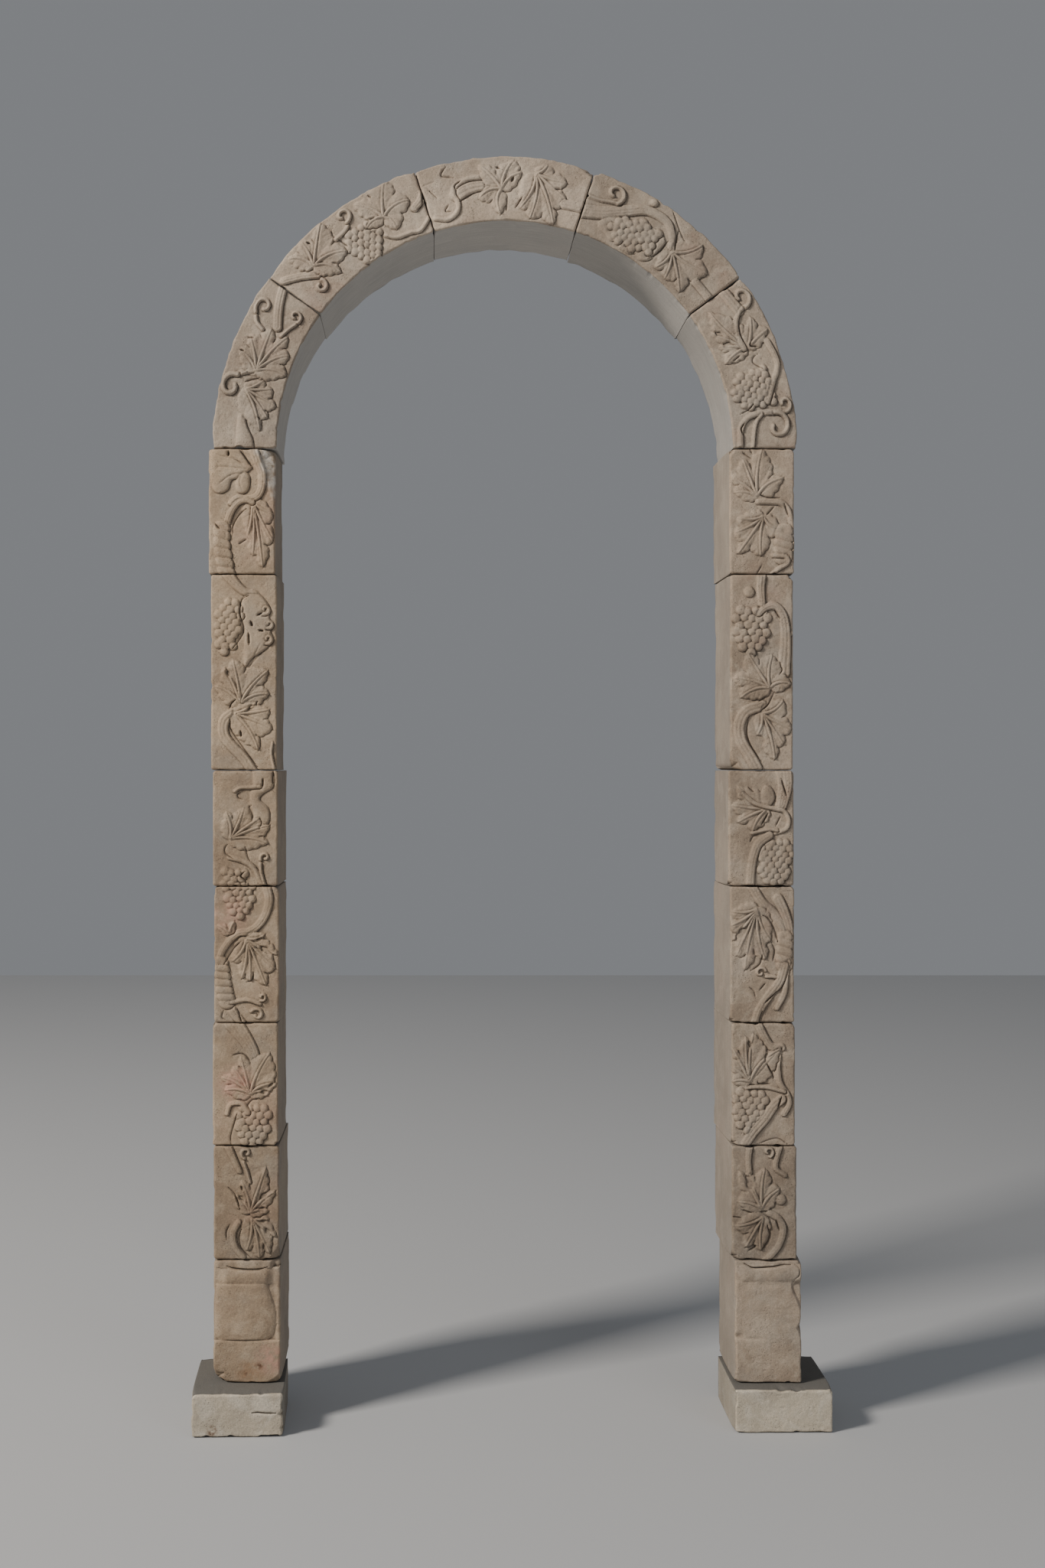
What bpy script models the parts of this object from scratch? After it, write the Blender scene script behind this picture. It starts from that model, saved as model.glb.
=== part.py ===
# A free-standing arched door surround of carved limestone: two plinth blocks, two base stones,
# six carved stones a side and five carved voussoirs. Metres, +Z up, carved faces towards -Y.
import math

import bpy
import numpy as np
from mathutils import Vector, geometry

for old in list(bpy.data.objects):
    bpy.data.objects.remove(old, do_unlink=True)

# Driving sizes, in metres
opening_width = 1.014
springing_height = 2.173
ring_face = 0.1475
plinth_height = 0.095
joint = 0.0006
left_widths = (0.150, 0.147, 0.1468, 0.146, 0.146, 0.148, 0.149)
right_widths = (0.1495, 0.145, 0.142, 0.144, 0.147, 0.141, 0.145)
left_shifts = (0.0068, 0.0053, 0.0032, 0.0060, 0.0030, 0.0, -0.0044)
right_shifts = (0.0050, -0.0030, -0.0051, -0.0076, -0.0100, -0.0088, -0.0085)
left_depths = (0.240, 0.250, 0.225, 0.200, 0.240, 0.190, 0.190)
right_depths = (0.205, 0.225, 0.240, 0.220, 0.190, 0.205, 0.220)
voussoir_depths = (0.205, 0.228, 0.222, 0.230, 0.212)
voussoir_count = 5
ground_depth = 0.008
plinth_left_size = (0.202, 0.225)
plinth_left_shift = (-0.0112, 0.0475)
plinth_right_size = (0.217, 0.215)
plinth_right_shift = (0.0317, 0.0675)
plinth_edge = 0.007

# Shares, counts and angles
course_shares = (0.1311, 0.1225, 0.1316, 0.1461, 0.1244, 0.2098, 0.1345)
plinth_left_turn = 2.0
plinth_right_turn = 0.0
points_per_face_width = 119
bends_per_voussoir = 6

# Sizes that follow from them
ring_inner = opening_width / 2
jamb_centre = ring_inner + ring_face / 2
jamb_height = springing_height - plinth_height
course_heights = [jamb_height * share / sum(course_shares) for share in course_shares]
voussoir_angle = math.pi / voussoir_count
plinth_left_place = (-jamb_centre + plinth_left_shift[0], plinth_left_shift[1])
plinth_right_place = (jamb_centre + plinth_right_shift[0], plinth_right_shift[1])

# One stroke is the unit of the carving: a hundred and forty-seventh of a face, about a millimetre.
stroke = ring_face / 147.5
flank = 4.5
moat = 3.5
ground = 3.2
front = ground_depth / stroke


def smooth(points, steps=4):
    """A curve through the given points, as closer points."""
    points = np.array(points, float)
    if len(points) < 3:
        return points
    ends = [2 * points[0] - points[1]], [2 * points[-1] - points[-2]]
    guide = np.vstack([ends[0], points, ends[1]])
    made = []
    for a, b, c, d in zip(guide, guide[1:], guide[2:], guide[3:]):
        for k in range(steps):
            t = k / steps
            bend = (2 * a - 5 * b + 4 * c - d) * t * t + (3 * b - a - 3 * c + d) * t ** 3
            made.append(0.5 * (2 * b + (c - a) * t + bend))
    return np.array(made + [points[-1]])


def near_line(u, v, line):
    """For each sample its distance from a line, the share of the length there, and its side."""
    best = np.full(u.shape, 1e9)
    share = np.zeros(u.shape)
    side = np.ones(u.shape)
    lengths = np.hypot(*np.diff(line, axis=0).T)
    total = lengths.sum()
    done = 0.0
    for (ax, ay), (bx, by), length in zip(line, line[1:], lengths):
        if length < 1e-9:
            continue
        dx = (bx - ax) / length
        dy = (by - ay) / length
        along = np.clip((u - ax) * dx + (v - ay) * dy, 0, length)
        gap = np.hypot(u - ax - along * dx, v - ay - along * dy)
        closer = gap < best
        best = np.where(closer, gap, best)
        share = np.where(closer, (done + along) / total, share)
        side = np.where(closer, np.sign((u - ax) * dy - (v - ay) * dx), side)
        done += length
    return best, share, side


def within(u, v, outline):
    """How far each sample lies inside a closed outline, below zero outside it."""
    closed = np.vstack([outline, outline[:1]])
    inside = np.zeros(u.shape, bool)
    for (ax, ay), (bx, by) in zip(closed, closed[1:]):
        if ay != by:
            inside ^= ((ay > v) != (by > v)) & (u < (bx - ax) * (v - ay) / (by - ay) + ax)
    gap = near_line(u, v, closed)[0]
    return np.where(inside, gap, -gap)


def unit(way):
    return way / max(np.hypot(*way), 1e-9)


def lobe_edge(start, end, root, tip, bulge):
    """A bulging edge of one lobe from start to end, without its last point."""
    way = end - start
    length = np.hypot(*way)
    out = np.array([way[1], -way[0]]) / max(length, 1e-9)
    axis = tip - root
    middle = (start + end) / 2 - root
    if (out[0] * axis[1] - out[1] * axis[0]) * (middle[0] * axis[1] - middle[1] * axis[0]) < 0:
        out = -out
    t = np.linspace(0, 1, 13)[:-1]
    rise = bulge * length * 4 * t * (1 - t)
    return start + np.outer(t, way) + np.outer(rise, out)


class Relief:
    """Heights above the sunk floor over one face, at an even grid of samples. Places are shares
    of the face in hundredths. Widths and heights are strokes, a share of the face width."""

    def __init__(self, width, height, u, v):
        self.width = width
        self.height = height
        self.u = u
        self.v = v
        self.step = (u[0, 1] - u[0, 0], v[1, 0] - v[0, 0])
        self.p = u / width * 100
        self.q = v / height * 100
        self.h = np.full(u.shape, ground)

    def place(self, points):
        return [(p * self.width / 100, q * self.height / 100) for p, q in points]

    def window(self, line, reach):
        """The block of the grid within reach of a line."""
        line = np.array(line)
        low = (line.min(axis=0) - reach) / self.step
        high = (line.max(axis=0) + reach) / self.step
        columns = slice(max(0, int(low[0])), max(2, int(high[0]) + 2))
        rows = slice(max(0, int(low[1])), max(2, int(high[1]) + 2))
        return rows, columns

    def lay(self, where, inside, body):
        """Lays a raised form over what is there, with a steep flank. It parts it from other forms."""
        if min(inside.shape) < 2:
            return
        under = self.h[where]
        rise = np.clip(inside / flank, 0, 1)
        lifted = ground + (body - ground) * np.sqrt(1 - (1 - rise) ** 2)
        beside = np.clip(-inside / moat, 0, 1)
        sunk = ground + (under - ground) * beside
        self.h[where] = np.where(inside > 0, lifted, np.minimum(under, sunk))

    def form(self, points, lift=8.5):
        """A raised form with the given closed outline and a rounded top."""
        outline = smooth(self.place(list(points) + [points[0]]))[:-1]
        where = self.window(outline, moat)
        inside = within(self.u[where], self.v[where], outline)
        self.lay(where, inside, lift * (0.80 + 0.20 * np.clip(inside / 12, 0, 1)))

    def stem(self, points, start, end=None, lift=8.5, grooves=2):
        """A vine stem of the given widths at its two ends. With grooves it is flatter on top."""
        end = start if end is None else end
        line = smooth(self.place(points))
        where = self.window(line, max(start, end) + moat)
        gap, share, _ = near_line(self.u[where], self.v[where], line)
        half = (start + (end - start) * share) / 2
        across = np.clip(gap / half, 0, 1)
        crown = 0.30 if grooves < 2 else 0.18
        body = lift * (1 - crown + crown * np.sqrt(1 - across ** 2))
        self.lay(where, half - gap, body)

    def leaf(self, base, tips, notches=(), lift=9.5):
        """A leaf of lobes that spread from its base, each roof-shaped along its middle. The
        notches part the lobes; one that isn't given lies half way out."""
        root = np.array(self.place([base])[0])
        ends = np.array(self.place(tips))
        deep = [np.array(point) for point in self.place(notches)]
        angles = np.arctan2(ends[:, 1] - root[1], ends[:, 0] - root[0]) % math.tau
        order = np.argsort(angles)
        spans = (np.roll(angles[order], -1) - angles[order]) % math.tau
        order = np.roll(order, -((int(np.argmax(spans)) + 1) % len(order)))
        ends = ends[order]
        angles = angles[order]
        main = unit(sum(unit(end - root) for end in ends))
        heel = root - main * 4.5
        outline = [lobe_edge(heel, ends[0], root, ends[0], 0.24)]
        for k, (one, two) in enumerate(zip(ends, ends[1:])):
            span = (angles[k + 1] - angles[k]) % math.tau
            way = angles[k] + span / 2
            reach = min(np.hypot(*(one - root)), np.hypot(*(two - root)))
            between = root + reach * (0.56 - 0.10 * span) * np.array([math.cos(way), math.sin(way)])
            for point in deep:
                turn = math.atan2(point[1] - root[1], point[0] - root[0])
                if (turn - angles[k]) % math.tau < span:
                    between = point
            outline.append(lobe_edge(one, between, root, one, 0.22))
            outline.append(lobe_edge(between, two, root, two, 0.22))
        outline.append(lobe_edge(ends[-1], heel, root, ends[-1], 0.24))
        outline = np.concatenate(outline)
        where = self.window(outline, moat)
        u = self.u[where]
        v = self.v[where]
        inside = within(u, v, outline)
        best = np.full(u.shape, 1e9)
        second = np.full(u.shape, 1e9)
        share = np.zeros(u.shape)
        for end in ends:
            reach = np.hypot(*(end - root))
            bend = root + 0.5 * reach * unit(0.7 * main + unit(end - root))
            t = np.linspace(0, 1, 7)[:, None]
            axis = (1 - t) ** 2 * root + 2 * t * (1 - t) * bend + t * t * end
            gap, here, _ = near_line(u, v, axis)
            second = np.minimum(second, np.maximum(gap, best))
            share = np.where(gap < best, here, share)
            best = np.minimum(best, gap)
        room = np.minimum(best + np.maximum(inside, 0), (best + second) / 2)
        across = np.clip(best / np.maximum(room, 0.8), 0, 1)
        shape = 0.96 - 0.30 * across ** 1.6 - 0.07 * share
        self.lay(where, inside, lift * shape)

    def curl(self, eye, radius, start, turns=0.85, width=8.0, hand=1, lift=9.0):
        """A tendril that winds in to its eye, from an angle in degrees counted from the right."""
        centre = np.array(self.place([eye])[0])
        line = []
        steps = int(18 * turns) + 1
        for k in range(steps + 1):
            share = k / steps
            angle = math.radians(start + hand * 360 * turns * share)
            size = radius * (1 - share * 0.70)
            line.append(centre + size * np.array([math.cos(angle), math.sin(angle)]))
        where = self.window(line, width + moat)
        gap, share, _ = near_line(self.u[where], self.v[where], np.array(line))
        half = width / 2 * (1 - 0.12 * share)
        across = np.clip(gap / half, 0, 1)
        self.lay(where, half - gap, lift * (0.74 + 0.26 * np.sqrt(1 - across ** 2)))

    def boss(self, at, radius, lift=8.5):
        """A round knob."""
        centre = self.place([at])
        where = self.window(centre, radius + moat)
        gap = np.hypot(self.u[where] - centre[0][0], self.v[where] - centre[0][1])
        across = np.clip(gap / radius, 0, 1)
        self.lay(where, radius - gap, lift * (0.7 + 0.3 * np.sqrt(1 - across ** 2)))

    def bunch(self, top, tip, width, berry, lift=9.5):
        """A bunch of grapes: rows of round berries on one mound, from its top to its tip."""
        start, end = (np.array(point) for point in self.place([top, tip]))
        reach = np.hypot(*(end - start))
        axis = (end - start) / reach
        cross = np.array([axis[1], -axis[0]])
        where = self.window([start, end], width / 2 + berry + moat)
        u = self.u[where]
        v = self.v[where]
        inside = np.full(u.shape, -1e9)
        body = np.zeros(u.shape)
        rows = max(2, int(round(reach / (berry * 1.62))))
        for row in range(rows):
            share = (row + 0.5) / rows
            wide = width * math.sin(math.pi * min(0.94, share * 0.80 + 0.20)) ** 0.6
            count = max(1, int(round(wide / (berry * 1.9) - 0.25)))
            count += (row + count) % 2 if count > 1 else 0
            for k in range(count):
                shift = (k - (count - 1) / 2) * berry * 1.85
                stray = 0.20 * berry * math.sin(5.1 * row + 3.7 * k)
                at = start + axis * (share * reach + stray) + cross * (shift + 0.7 * stray)
                size = berry * (1.05 + 0.10 * math.sin(2.3 * row + 4.9 * k))
                gap = np.hypot(u - at[0], v - at[1])
                rise = lift * (1 - 0.15 * (2 * shift / max(width, 1)) ** 2)
                dome = rise * (0.70 + 0.30 * np.sqrt(np.clip(1 - (gap / size) ** 2.2, 0, 1)))
                body = np.where(gap < size, np.maximum(body, dome), body)
                inside = np.maximum(inside, size - gap)
        body = np.maximum(body, lift * 0.66)
        self.lay(where, inside + 1.2, body)

    def knot(self, points, width, rings=5, lift=9.5):
        """A swollen binding of rings across a stem."""
        line = smooth(self.place(points))
        where = self.window(line, width)
        gap, share, side = near_line(self.u[where], self.v[where], line)
        wave = np.abs(np.sin(np.pi * (share * rings + 0.55 * side * gap / width)))
        swell = 1 - (1 - wave) ** 2
        half = width / 2 * (0.80 + 0.20 * swell)
        across = np.clip(gap / half, 0, 1)
        body = lift * (0.70 + 0.30 * np.sqrt(1 - across ** 2)) * (0.66 + 0.34 * swell)
        self.lay(where, half - gap, body)

    def cut(self, points, width=5.0, depth=1.0):
        """A drilled pocket or a sharply cut line that runs out at both ends, down to below the floor."""
        line = smooth(self.place(points))
        where = self.window(line, width)
        gap, share, _ = near_line(self.u[where], self.v[where], line)
        taper = np.clip(np.minimum(share, 1 - share) * 5, 0.35, 1)
        fall = np.clip(1 - gap / (width * 0.62 * taper), 0, 1)
        fall = fall * fall * (3 - 2 * fall)
        floor = self.h[where] * (1 - fall) - depth * fall
        self.h[where] = np.where(fall > 0, np.minimum(self.h[where], floor), self.h[where])


    def chip(self, corner, reach, depth=18.0):
        """A broken corner: corner is two shares of 0 or 100, reach is how far it runs each way."""
        gap_u = np.abs(self.p - corner[0]) / 100 * self.width / reach[0]
        gap_v = np.abs(self.q - corner[1]) / 100 * self.height / reach[1]
        fall = np.clip(1 - gap_u - gap_v, 0, 1)
        self.h -= depth * fall


def carve_jamb_left_1(r):
    r.stem([(38, 33), (30, 24), (33, 12), (45, 3)], 14)
    r.leaf((58, 38), [(86, 36), (97, 20), (86, 5), (70, 1), (50, 8)], [(78, 28), (76, 14), (60, 12)])
    r.leaf((56, 42), [(80, 82), (95, 61), (85, 43), (42, 70), (30, 58)], [(72, 66), (70, 53), (57, 62)])
    r.stem([(22, 100), (30, 90), (40, 78)], 18, 12)
    r.stem([(56, 68), (51, 78), (46, 86)], 7, grooves=0)
    r.curl((50, 94), 13, 250, hand=-1)
    r.cut([(22, 64), (33, 57), (41, 44)])
    r.cut([(42, 65), (44, 61)], 7)
    r.cut([(43, 27), (39, 20), (43, 10), (60, 0)], 4)
    r.cut([(25, 31), (20, 25), (20, 18)])
    r.chip((100, 0), (26, 34))


def carve_jamb_left_2(r):
    r.bunch((62, 33), (60, -4), 70, 8.5)
    r.stem([(32, 100), (46, 90), (58, 80), (64, 72)], 40, 24, 7.5, 4)
    r.leaf((57, 42), [(87, 76), (99, 51), (88, 43), (42, 74), (31, 65), (13, 56), (18, 45)],
           [(75, 57), (85, 48), (58, 66), (45, 62), (32, 57), (28, 50)])
    r.stem([(54, 27), (45, 34), (35, 35), (26, 33), (22, 26)], 13, 10, grooves=1)
    r.cut([(30, 73.5), (42, 75), (51, 73), (58, 67)], 5)
    r.cut([(72, 39), (60, 37), (54, 33), (56, 30)])
    r.cut([(38, 27), (33, 18), (28, 8), (28, 0)], 4)
    r.chip((0, 100), (10, 14))
    r.chip((100, 0), (10, 12))


def carve_jamb_left_3(r):
    r.bunch((38, 106), (40, 76), 62, 7.5)
    r.stem([(80, 100), (84, 90), (78, 79), (66, 71), (52, 67), (38, 66), (25, 61), (12, 52), (9, 44)],
           20, 14)
    r.leaf((24, 66), [(4, 72), (32, 75)])
    r.leaf((50, 62), [(79, 65), (100, 50), (94, 40), (80, 27), (55, 30), (42, 32), (28, 45)],
           [(71, 56), (82, 45), (78, 37), (60, 37), (48, 36), (42, 45)])
    r.stem([(18, 18), (28, 9), (42, 0)], 20)
    r.knot([(10, 43), (14, 29), (20, 16)], 38, 5)
    r.stem([(27, 15), (50, 17), (70, 14)], 10, grooves=1)
    r.curl((74, 19), 9, 250, hand=1, width=6)
    r.curl((66, 6), 15, 150, hand=-1)
    r.cut([(42, 60), (30, 54), (16, 43)], 4)
    r.cut([(60, 35), (57, 31), (50, 30)])
    r.cut([(36, 10), (43, 0)], 4)
    r.cut([(15, 9), (12, 4), (18, 2)], 4)


def carve_jamb_left_4(r):
    r.form([(60, 104), (62, 90), (58, 82), (57, 72), (62, 64), (66, 56), (78, 50), (86, 56), (87, 64),
           (83, 69),
            (72, 75), (78, 80), (90, 84), (94, 89), (93, 96), (88, 104)], 8.0)
    r.stem([(72, 86), (58, 85.5), (42, 85), (34, 82)], 10, 8, grooves=0)
    r.leaf((27, 41), [(20, 65), (48, 68), (72, 59), (88, 53), (86, 37)], [(31, 58), (60, 57), (72, 51),
           (72, 43)])
    r.stem([(26, 25), (45, 22), (62, 16), (78, 0)], 12)
    r.bunch((34, 14), (32, -6), 52, 8.0)
    r.stem([(80, 0), (74, 12), (73, 20)], 8, grooves=0)
    r.curl((80, 25), 11, 210, hand=-1, width=7)
    r.cut([(92, 100), (92, 91), (93, 87)], 4)
    r.cut([(77, 93), (77, 86)])
    r.cut([(42, 81), (38, 79), (40, 76), (46, 75)], 5)
    r.cut([(60, 70), (56, 68), (60, 63), (60, 58)])
    r.cut([(23, 36), (19, 33), (20, 28), (32, 23.5)], 5)
    r.cut([(50, 34), (54, 25), (57, 22)])
    r.cut([(50, 13), (43, 9), (50, 5), (52, 0)], 4)


def carve_jamb_left_5(r):
    r.stem([(24, 101), (38, 95), (52, 91), (66, 90), (79, 86)], 26, 11)
    r.form([(50, 51), (62, 57), (76, 60), (90, 64), (96, 67), (90, 71), (95, 74), (88, 78), (90, 82),
           (82, 87),
            (70, 90), (55, 90), (46, 86), (46, 79), (52, 72), (50, 62)], 8.0)
    r.bunch((32, 87), (20, 59), 54, 8.5, 8.5)
    r.curl((86, 67), 11, 250, hand=1, width=8)
    r.curl((88, 74.5), 10, 240, hand=1, width=7)
    r.curl((82, 82), 11, 250, hand=1, width=8)
    r.cut([(57, 89), (47, 87), (44, 80), (50, 72), (42, 66), (33, 62)], 5)
    r.cut([(60, 76), (63, 73.5)], 8)
    r.cut([(57, 70), (58, 64)], 7)
    r.cut([(70, 79), (78, 80.5)], 6)
    r.cut([(72, 71.5), (80, 71)], 6)
    r.leaf((45, 34), [(33, 57), (87, 51), (89, 39), (5, 43), (19, 53)], [(51, 50), (70, 43), (28, 48),
           (20, 44)])
    r.stem([(32, 29), (20, 25), (20, 18), (33, 12), (50, 6), (64, -1)], 24, 22, grooves=2)
    r.leaf((36, 29), [(70, 35), (89, 31), (93, 21), (72, 10)], [(78, 30), (80, 26), (68, 18)])
    r.stem([(96, 0), (91, 8), (93, 14)], 9, 5, grooves=0)
    r.cut([(38, 36), (31, 34), (28, 31)], 5)
    r.cut([(45, 20), (46, 17)], 7)
    r.cut([(29, 26), (30, 21), (48, 12), (72, 1)], 4)


def carve_jamb_left_6(r):
    r.form([(66, 85), (56, 93), (47, 101), (36, 104), (14, 104), (4, 98), (3, 86), (4, 74), (9, 66),
           (20, 64.5),
            (30, 68), (35, 75), (48, 77)], 8.5)
    r.form([(47, 80), (41, 74), (42, 67), (50, 64), (58, 66), (62, 72), (61, 79), (54, 82)])
    r.leaf((66, 58), [(81, 5), (97, 26), (97, 48), (66, 15), (58, 30)], [(87, 40), (84, 24), (73, 14),
           (60, 24)])
    r.stem([(66, 102), (73, 90), (80, 80), (79, 69), (72, 62), (58, 60), (44, 61), (34, 57)], 21, 14, 8.5)
    r.stem([(22, 30), (27, 40), (34, 50), (44, 57), (56, 59), (66, 57)], 17, 12, 9.0)
    r.knot([(20, 36), (20, 24), (23, 13), (28, -2)], 38, 5)
    r.cut([(46, 100), (55, 93), (65, 85)], 4)
    r.cut([(30, 98), (30, 94)], 6)
    r.cut([(10, 40), (17, 36)], 6)
    r.cut([(45, 24), (57, 28)], 6)
    r.cut([(37, 32), (37, 39), (47, 48), (57, 52)], 4)
    r.chip((100, 100), (30, 58))


def carve_jamb_right_1(r):
    r.stem([(28, 101), (25, 88), (27, 76)], 15, 12)
    r.stem([(74, 101), (68, 88), (68, 80), (82, 74)], 15, 10)
    r.curl((56, 95), 12, 290, hand=1, width=7)
    r.leaf((45, 45), [(10, 79), (22, 77), (50, 81), (74, 63), (8, 51)], [(16, 73), (36, 70), (58, 66),
           (22, 60)])
    r.boss((75, 53), 12)
    r.leaf((48, 38), [(4, 30), (20, 11), (44, 8)], [(24, 24), (34, 17)])
    r.stem([(58, 41), (72, 36), (79, 27), (73, 14), (61, 5), (50, -1)], 15)
    r.cut([(15, 44), (30, 41.5)])
    r.cut([(0, 38), (14, 37)], 4)
    r.cut([(68, 35), (73, 26)])
    r.cut([(54, 31), (58, 20), (46, 8)], 5)
    r.cut([(32, 13), (36, 12), (25, 8)])
    r.chip((0, 0), (18, 22))


def carve_jamb_right_2(r):
    r.stem([(40, 101), (50, 90), (62, 81), (78, 80)], 18)
    r.stem([(74, 78), (72, 65), (75, 52), (87, 42), (90, 34), (82, 26)], 13)
    r.leaf((28, 52), [(34, 92), (22, 89), (2, 79), (-2, 65), (0, 52), (78, 80)],
           [(29, 80), (14, 74), (8, 70), (8, 59), (52, 70)])
    r.stem([(14, 47), (50, 48), (83, 44)], 9, grooves=1)
    r.bunch((30, 45), (24, 10), 70, 8.5)
    r.stem([(78, 38), (65, 32), (52, 22), (35, 12), (22, 2)], 22)
    r.cut([(55, 67), (64, 58), (66, 53)])
    r.cut([(41, 53), (43, 50.5), (62, 50.5)], 4)
    r.cut([(78, 40), (72, 30)])
    r.cut([(40, 1), (70, 6), (88, 1)], 3)
    r.chip((0, 0), (16, 22))


def carve_jamb_right_3(r):
    r.stem([(33, 101), (50, 88), (68, 80), (82, 70), (88, 60), (85, 50)], 21)
    r.leaf((66, 82), [(73, 95), (86, 86)])
    r.leaf((38, 83), [(2, 82), (-2, 71), (3, 60), (22, 38), (9, 49), (63, 60), (54, 46)],
           [(12, 76), (12, 66), (18, 55), (24, 50), (36, 54), (56, 56)])
    r.knot([(84, 62), (84, 52), (84, 43)], 38, 3)
    r.curl((47, 37), 12, 20, hand=1, width=7)
    r.stem([(56, 34), (66, 34), (74, 33)], 8, grooves=0)
    r.stem([(90, 45), (86, 34), (84, 22), (72, 11)], 13, grooves=1)
    r.stem([(84, 42), (76, 30), (60, 20), (46, 10), (38, -1)], 20)
    r.cut([(48, 78), (63, 71), (71, 60)], 5)
    r.cut([(46, 24), (55, 29)])
    r.cut([(30, 26), (37, 23), (40, 18)])
    r.cut([(77, 25), (52, 14)], 4)
    r.cut([(50, 9), (44, 0)], 4)
    r.chip((0, 0), (12, 18))


def carve_jamb_right_4(r):
    r.stem([(84, 101), (86, 86), (80, 70)], 38, 26, grooves=4)
    r.leaf((58, 67), [(13, 87), (5, 70), (13, 55), (36, 47)], [(22, 74), (20, 62), (30, 56)])
    r.form([(50, 70), (48, 78), (53, 86), (60, 87), (68, 83), (70, 75), (62, 69)])
    r.stem([(22, 80), (42, 71), (70, 67), (84, 65), (91, 58), (88, 50), (70, 46)], 10, grooves=1)
    r.stem([(36, 46), (60, 49), (74, 48)], 8, grooves=0)
    r.bunch((72, 40), (68, 2), 76, 8.0)
    r.stem([(62, 44), (46, 37), (38, 26), (34, 12), (33, -1)], 19)
    r.cut([(80, 93), (88, 78)])
    r.cut([(30, 85.5), (39, 81)])
    r.cut([(60, 63), (50, 53)], 5)
    r.cut([(79, 60), (72, 52)], 5)
    r.cut([(33, 38), (38, 43), (46, 45)])
    r.chip((0, 0), (14, 18))


def carve_jamb_right_5(r):
    r.stem([(50, 101), (48, 93), (50, 85)], 22, 16)
    r.boss((30, 91), 12)
    r.boss((93, 70), 9)
    r.bunch((34, 83), (32, 58), 76, 9.0)
    r.stem([(45, 80), (55, 83), (70, 84), (82, 80), (87, 72), (87, 62), (84, 50)], 14, 30)
    r.leaf((62, 42), [(27, 60), (66, 59), (97, 44), (4, 47), (16, 37)], [(46, 54), (78, 49), (26, 50),
           (22, 43)])
    r.stem([(50, 33), (25, 30), (14, 23), (17, 15), (30, 8), (42, 1)], 25)
    r.leaf((50, 29), [(84, 36), (98, 21), (84, 13), (70, 5), (42, 18)], [(82, 27), (84, 18), (74, 12),
           (54, 15)])
    r.cut([(70, 82), (79, 77.5)])
    r.cut([(58, 38), (45, 35)], 6)
    r.cut([(70, 40), (60, 33.5), (47, 30)], 4)
    r.cut([(30, 28), (26, 20), (32, 13), (50, 4)], 5)
    r.chip((0, 0), (26, 30))
    r.chip((100, 100), (14, 16))


def carve_jamb_right_6(r):
    r.leaf((42, 62), [(50, 101), (20, 92), (1, 77), (7, 65), (84, 77)], [(34, 84), (14, 80), (14, 71),
           (60, 76)])
    r.stem([(97, 20), (95, 40), (90, 51), (79, 57), (60, 58), (44, 58)], 14, grooves=1)
    r.leaf((52, 46), [(80, 35), (48, 14), (12, 16), (7, 33), (12, 45)], [(59, 30), (32, 23), (20, 26),
           (17, 38)])
    r.knot([(84, 33), (83, 24), (82, 15)], 44, 3)
    r.stem([(67, 15), (86, 14), (89, 9), (74, 4), (64, -1)], 11, grooves=1)
    r.cut([(20, 97), (34, 92)])
    r.cut([(32, 100), (35, 96)])
    r.cut([(49, 65), (48, 63), (60, 61), (78, 61)], 4)
    r.cut([(84, 56), (91, 46)])
    r.cut([(69, 54), (57, 47)])
    r.cut([(50, 7), (42, 0)], 4)
    r.chip((0, 100), (14, 18))


def carve_voussoir_1(r):
    r.form([(-2, 35), (6, 37), (14, 47), (22, 54), (20, 62), (8, 62), (-2, 62)])
    r.leaf((36, 58), [(11, 27), (20, 17), (29, 7), (40, 18), (44, 34)], [(20, 32), (25, 22), (33, 20),
           (40, 30)])
    r.stem([(47, 48), (46.5, 62), (43.5, 75)], 14, 12, grooves=1)
    r.curl((36, 80), 27, 345, hand=1, width=12)
    r.leaf((48, 50), [(51, 3), (65, 10), (76, 24), (76, 52), (67, 79), (57, 86)],
           [(57, 18), (67, 24), (68, 40), (68, 60), (60, 70)])
    r.stem([(73, 64), (75.5, 78), (80.5, 87)], 9, grooves=0)
    r.curl((85, 79), 21, 150, hand=-1, width=9)
    r.stem([(102, 72), (90, 60), (78, 45)], 20)
    r.stem([(74, 34), (80, 29), (87, 21)], 8, grooves=0)
    r.curl((89.5, 30), 15, 235, hand=1, width=8)
    r.cut([(40, 62), (45, 40)])
    r.cut([(57, 77), (57, 84)])
    r.cut([(65, 80), (66, 71)])


def carve_voussoir_2(r):
    r.stem([(3, 76), (11, 60), (19, 42)], 18)
    r.curl((15, 27), 16, 30, hand=-1, width=10)
    r.bunch((56, 58), (54, -4), 84, 8.5)
    r.leaf((21, 55), [(14, 92), (26, 97), (41, 98), (43, 37), (31, 18)], [(21, 84), (31, 80), (38, 60),
           (31, 38)])
    r.stem([(42, 62), (49, 64), (52, 68)], 10, grooves=1)
    r.curl((53, 85), 18, 270, hand=1, width=9)
    r.leaf((73, 50), [(61, 91), (83, 104), (92, 58), (60, 48), (77, 24)], [(70, 84), (84, 75), (84, 45),
           (66, 36)])
    r.stem([(69, 25), (75, 14), (85, 12), (92, 10), (101, 26)], 10, grooves=1)
    r.stem([(93, 44), (98, 52), (101, 62)], 18)
    r.cut([(28, 89), (29, 83)])
    r.cut([(43, 60), (45, 42)])
    r.cut([(71, 92), (72, 86)])
    r.cut([(94, 40), (98, 45), (100, 60)], 4)


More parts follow.
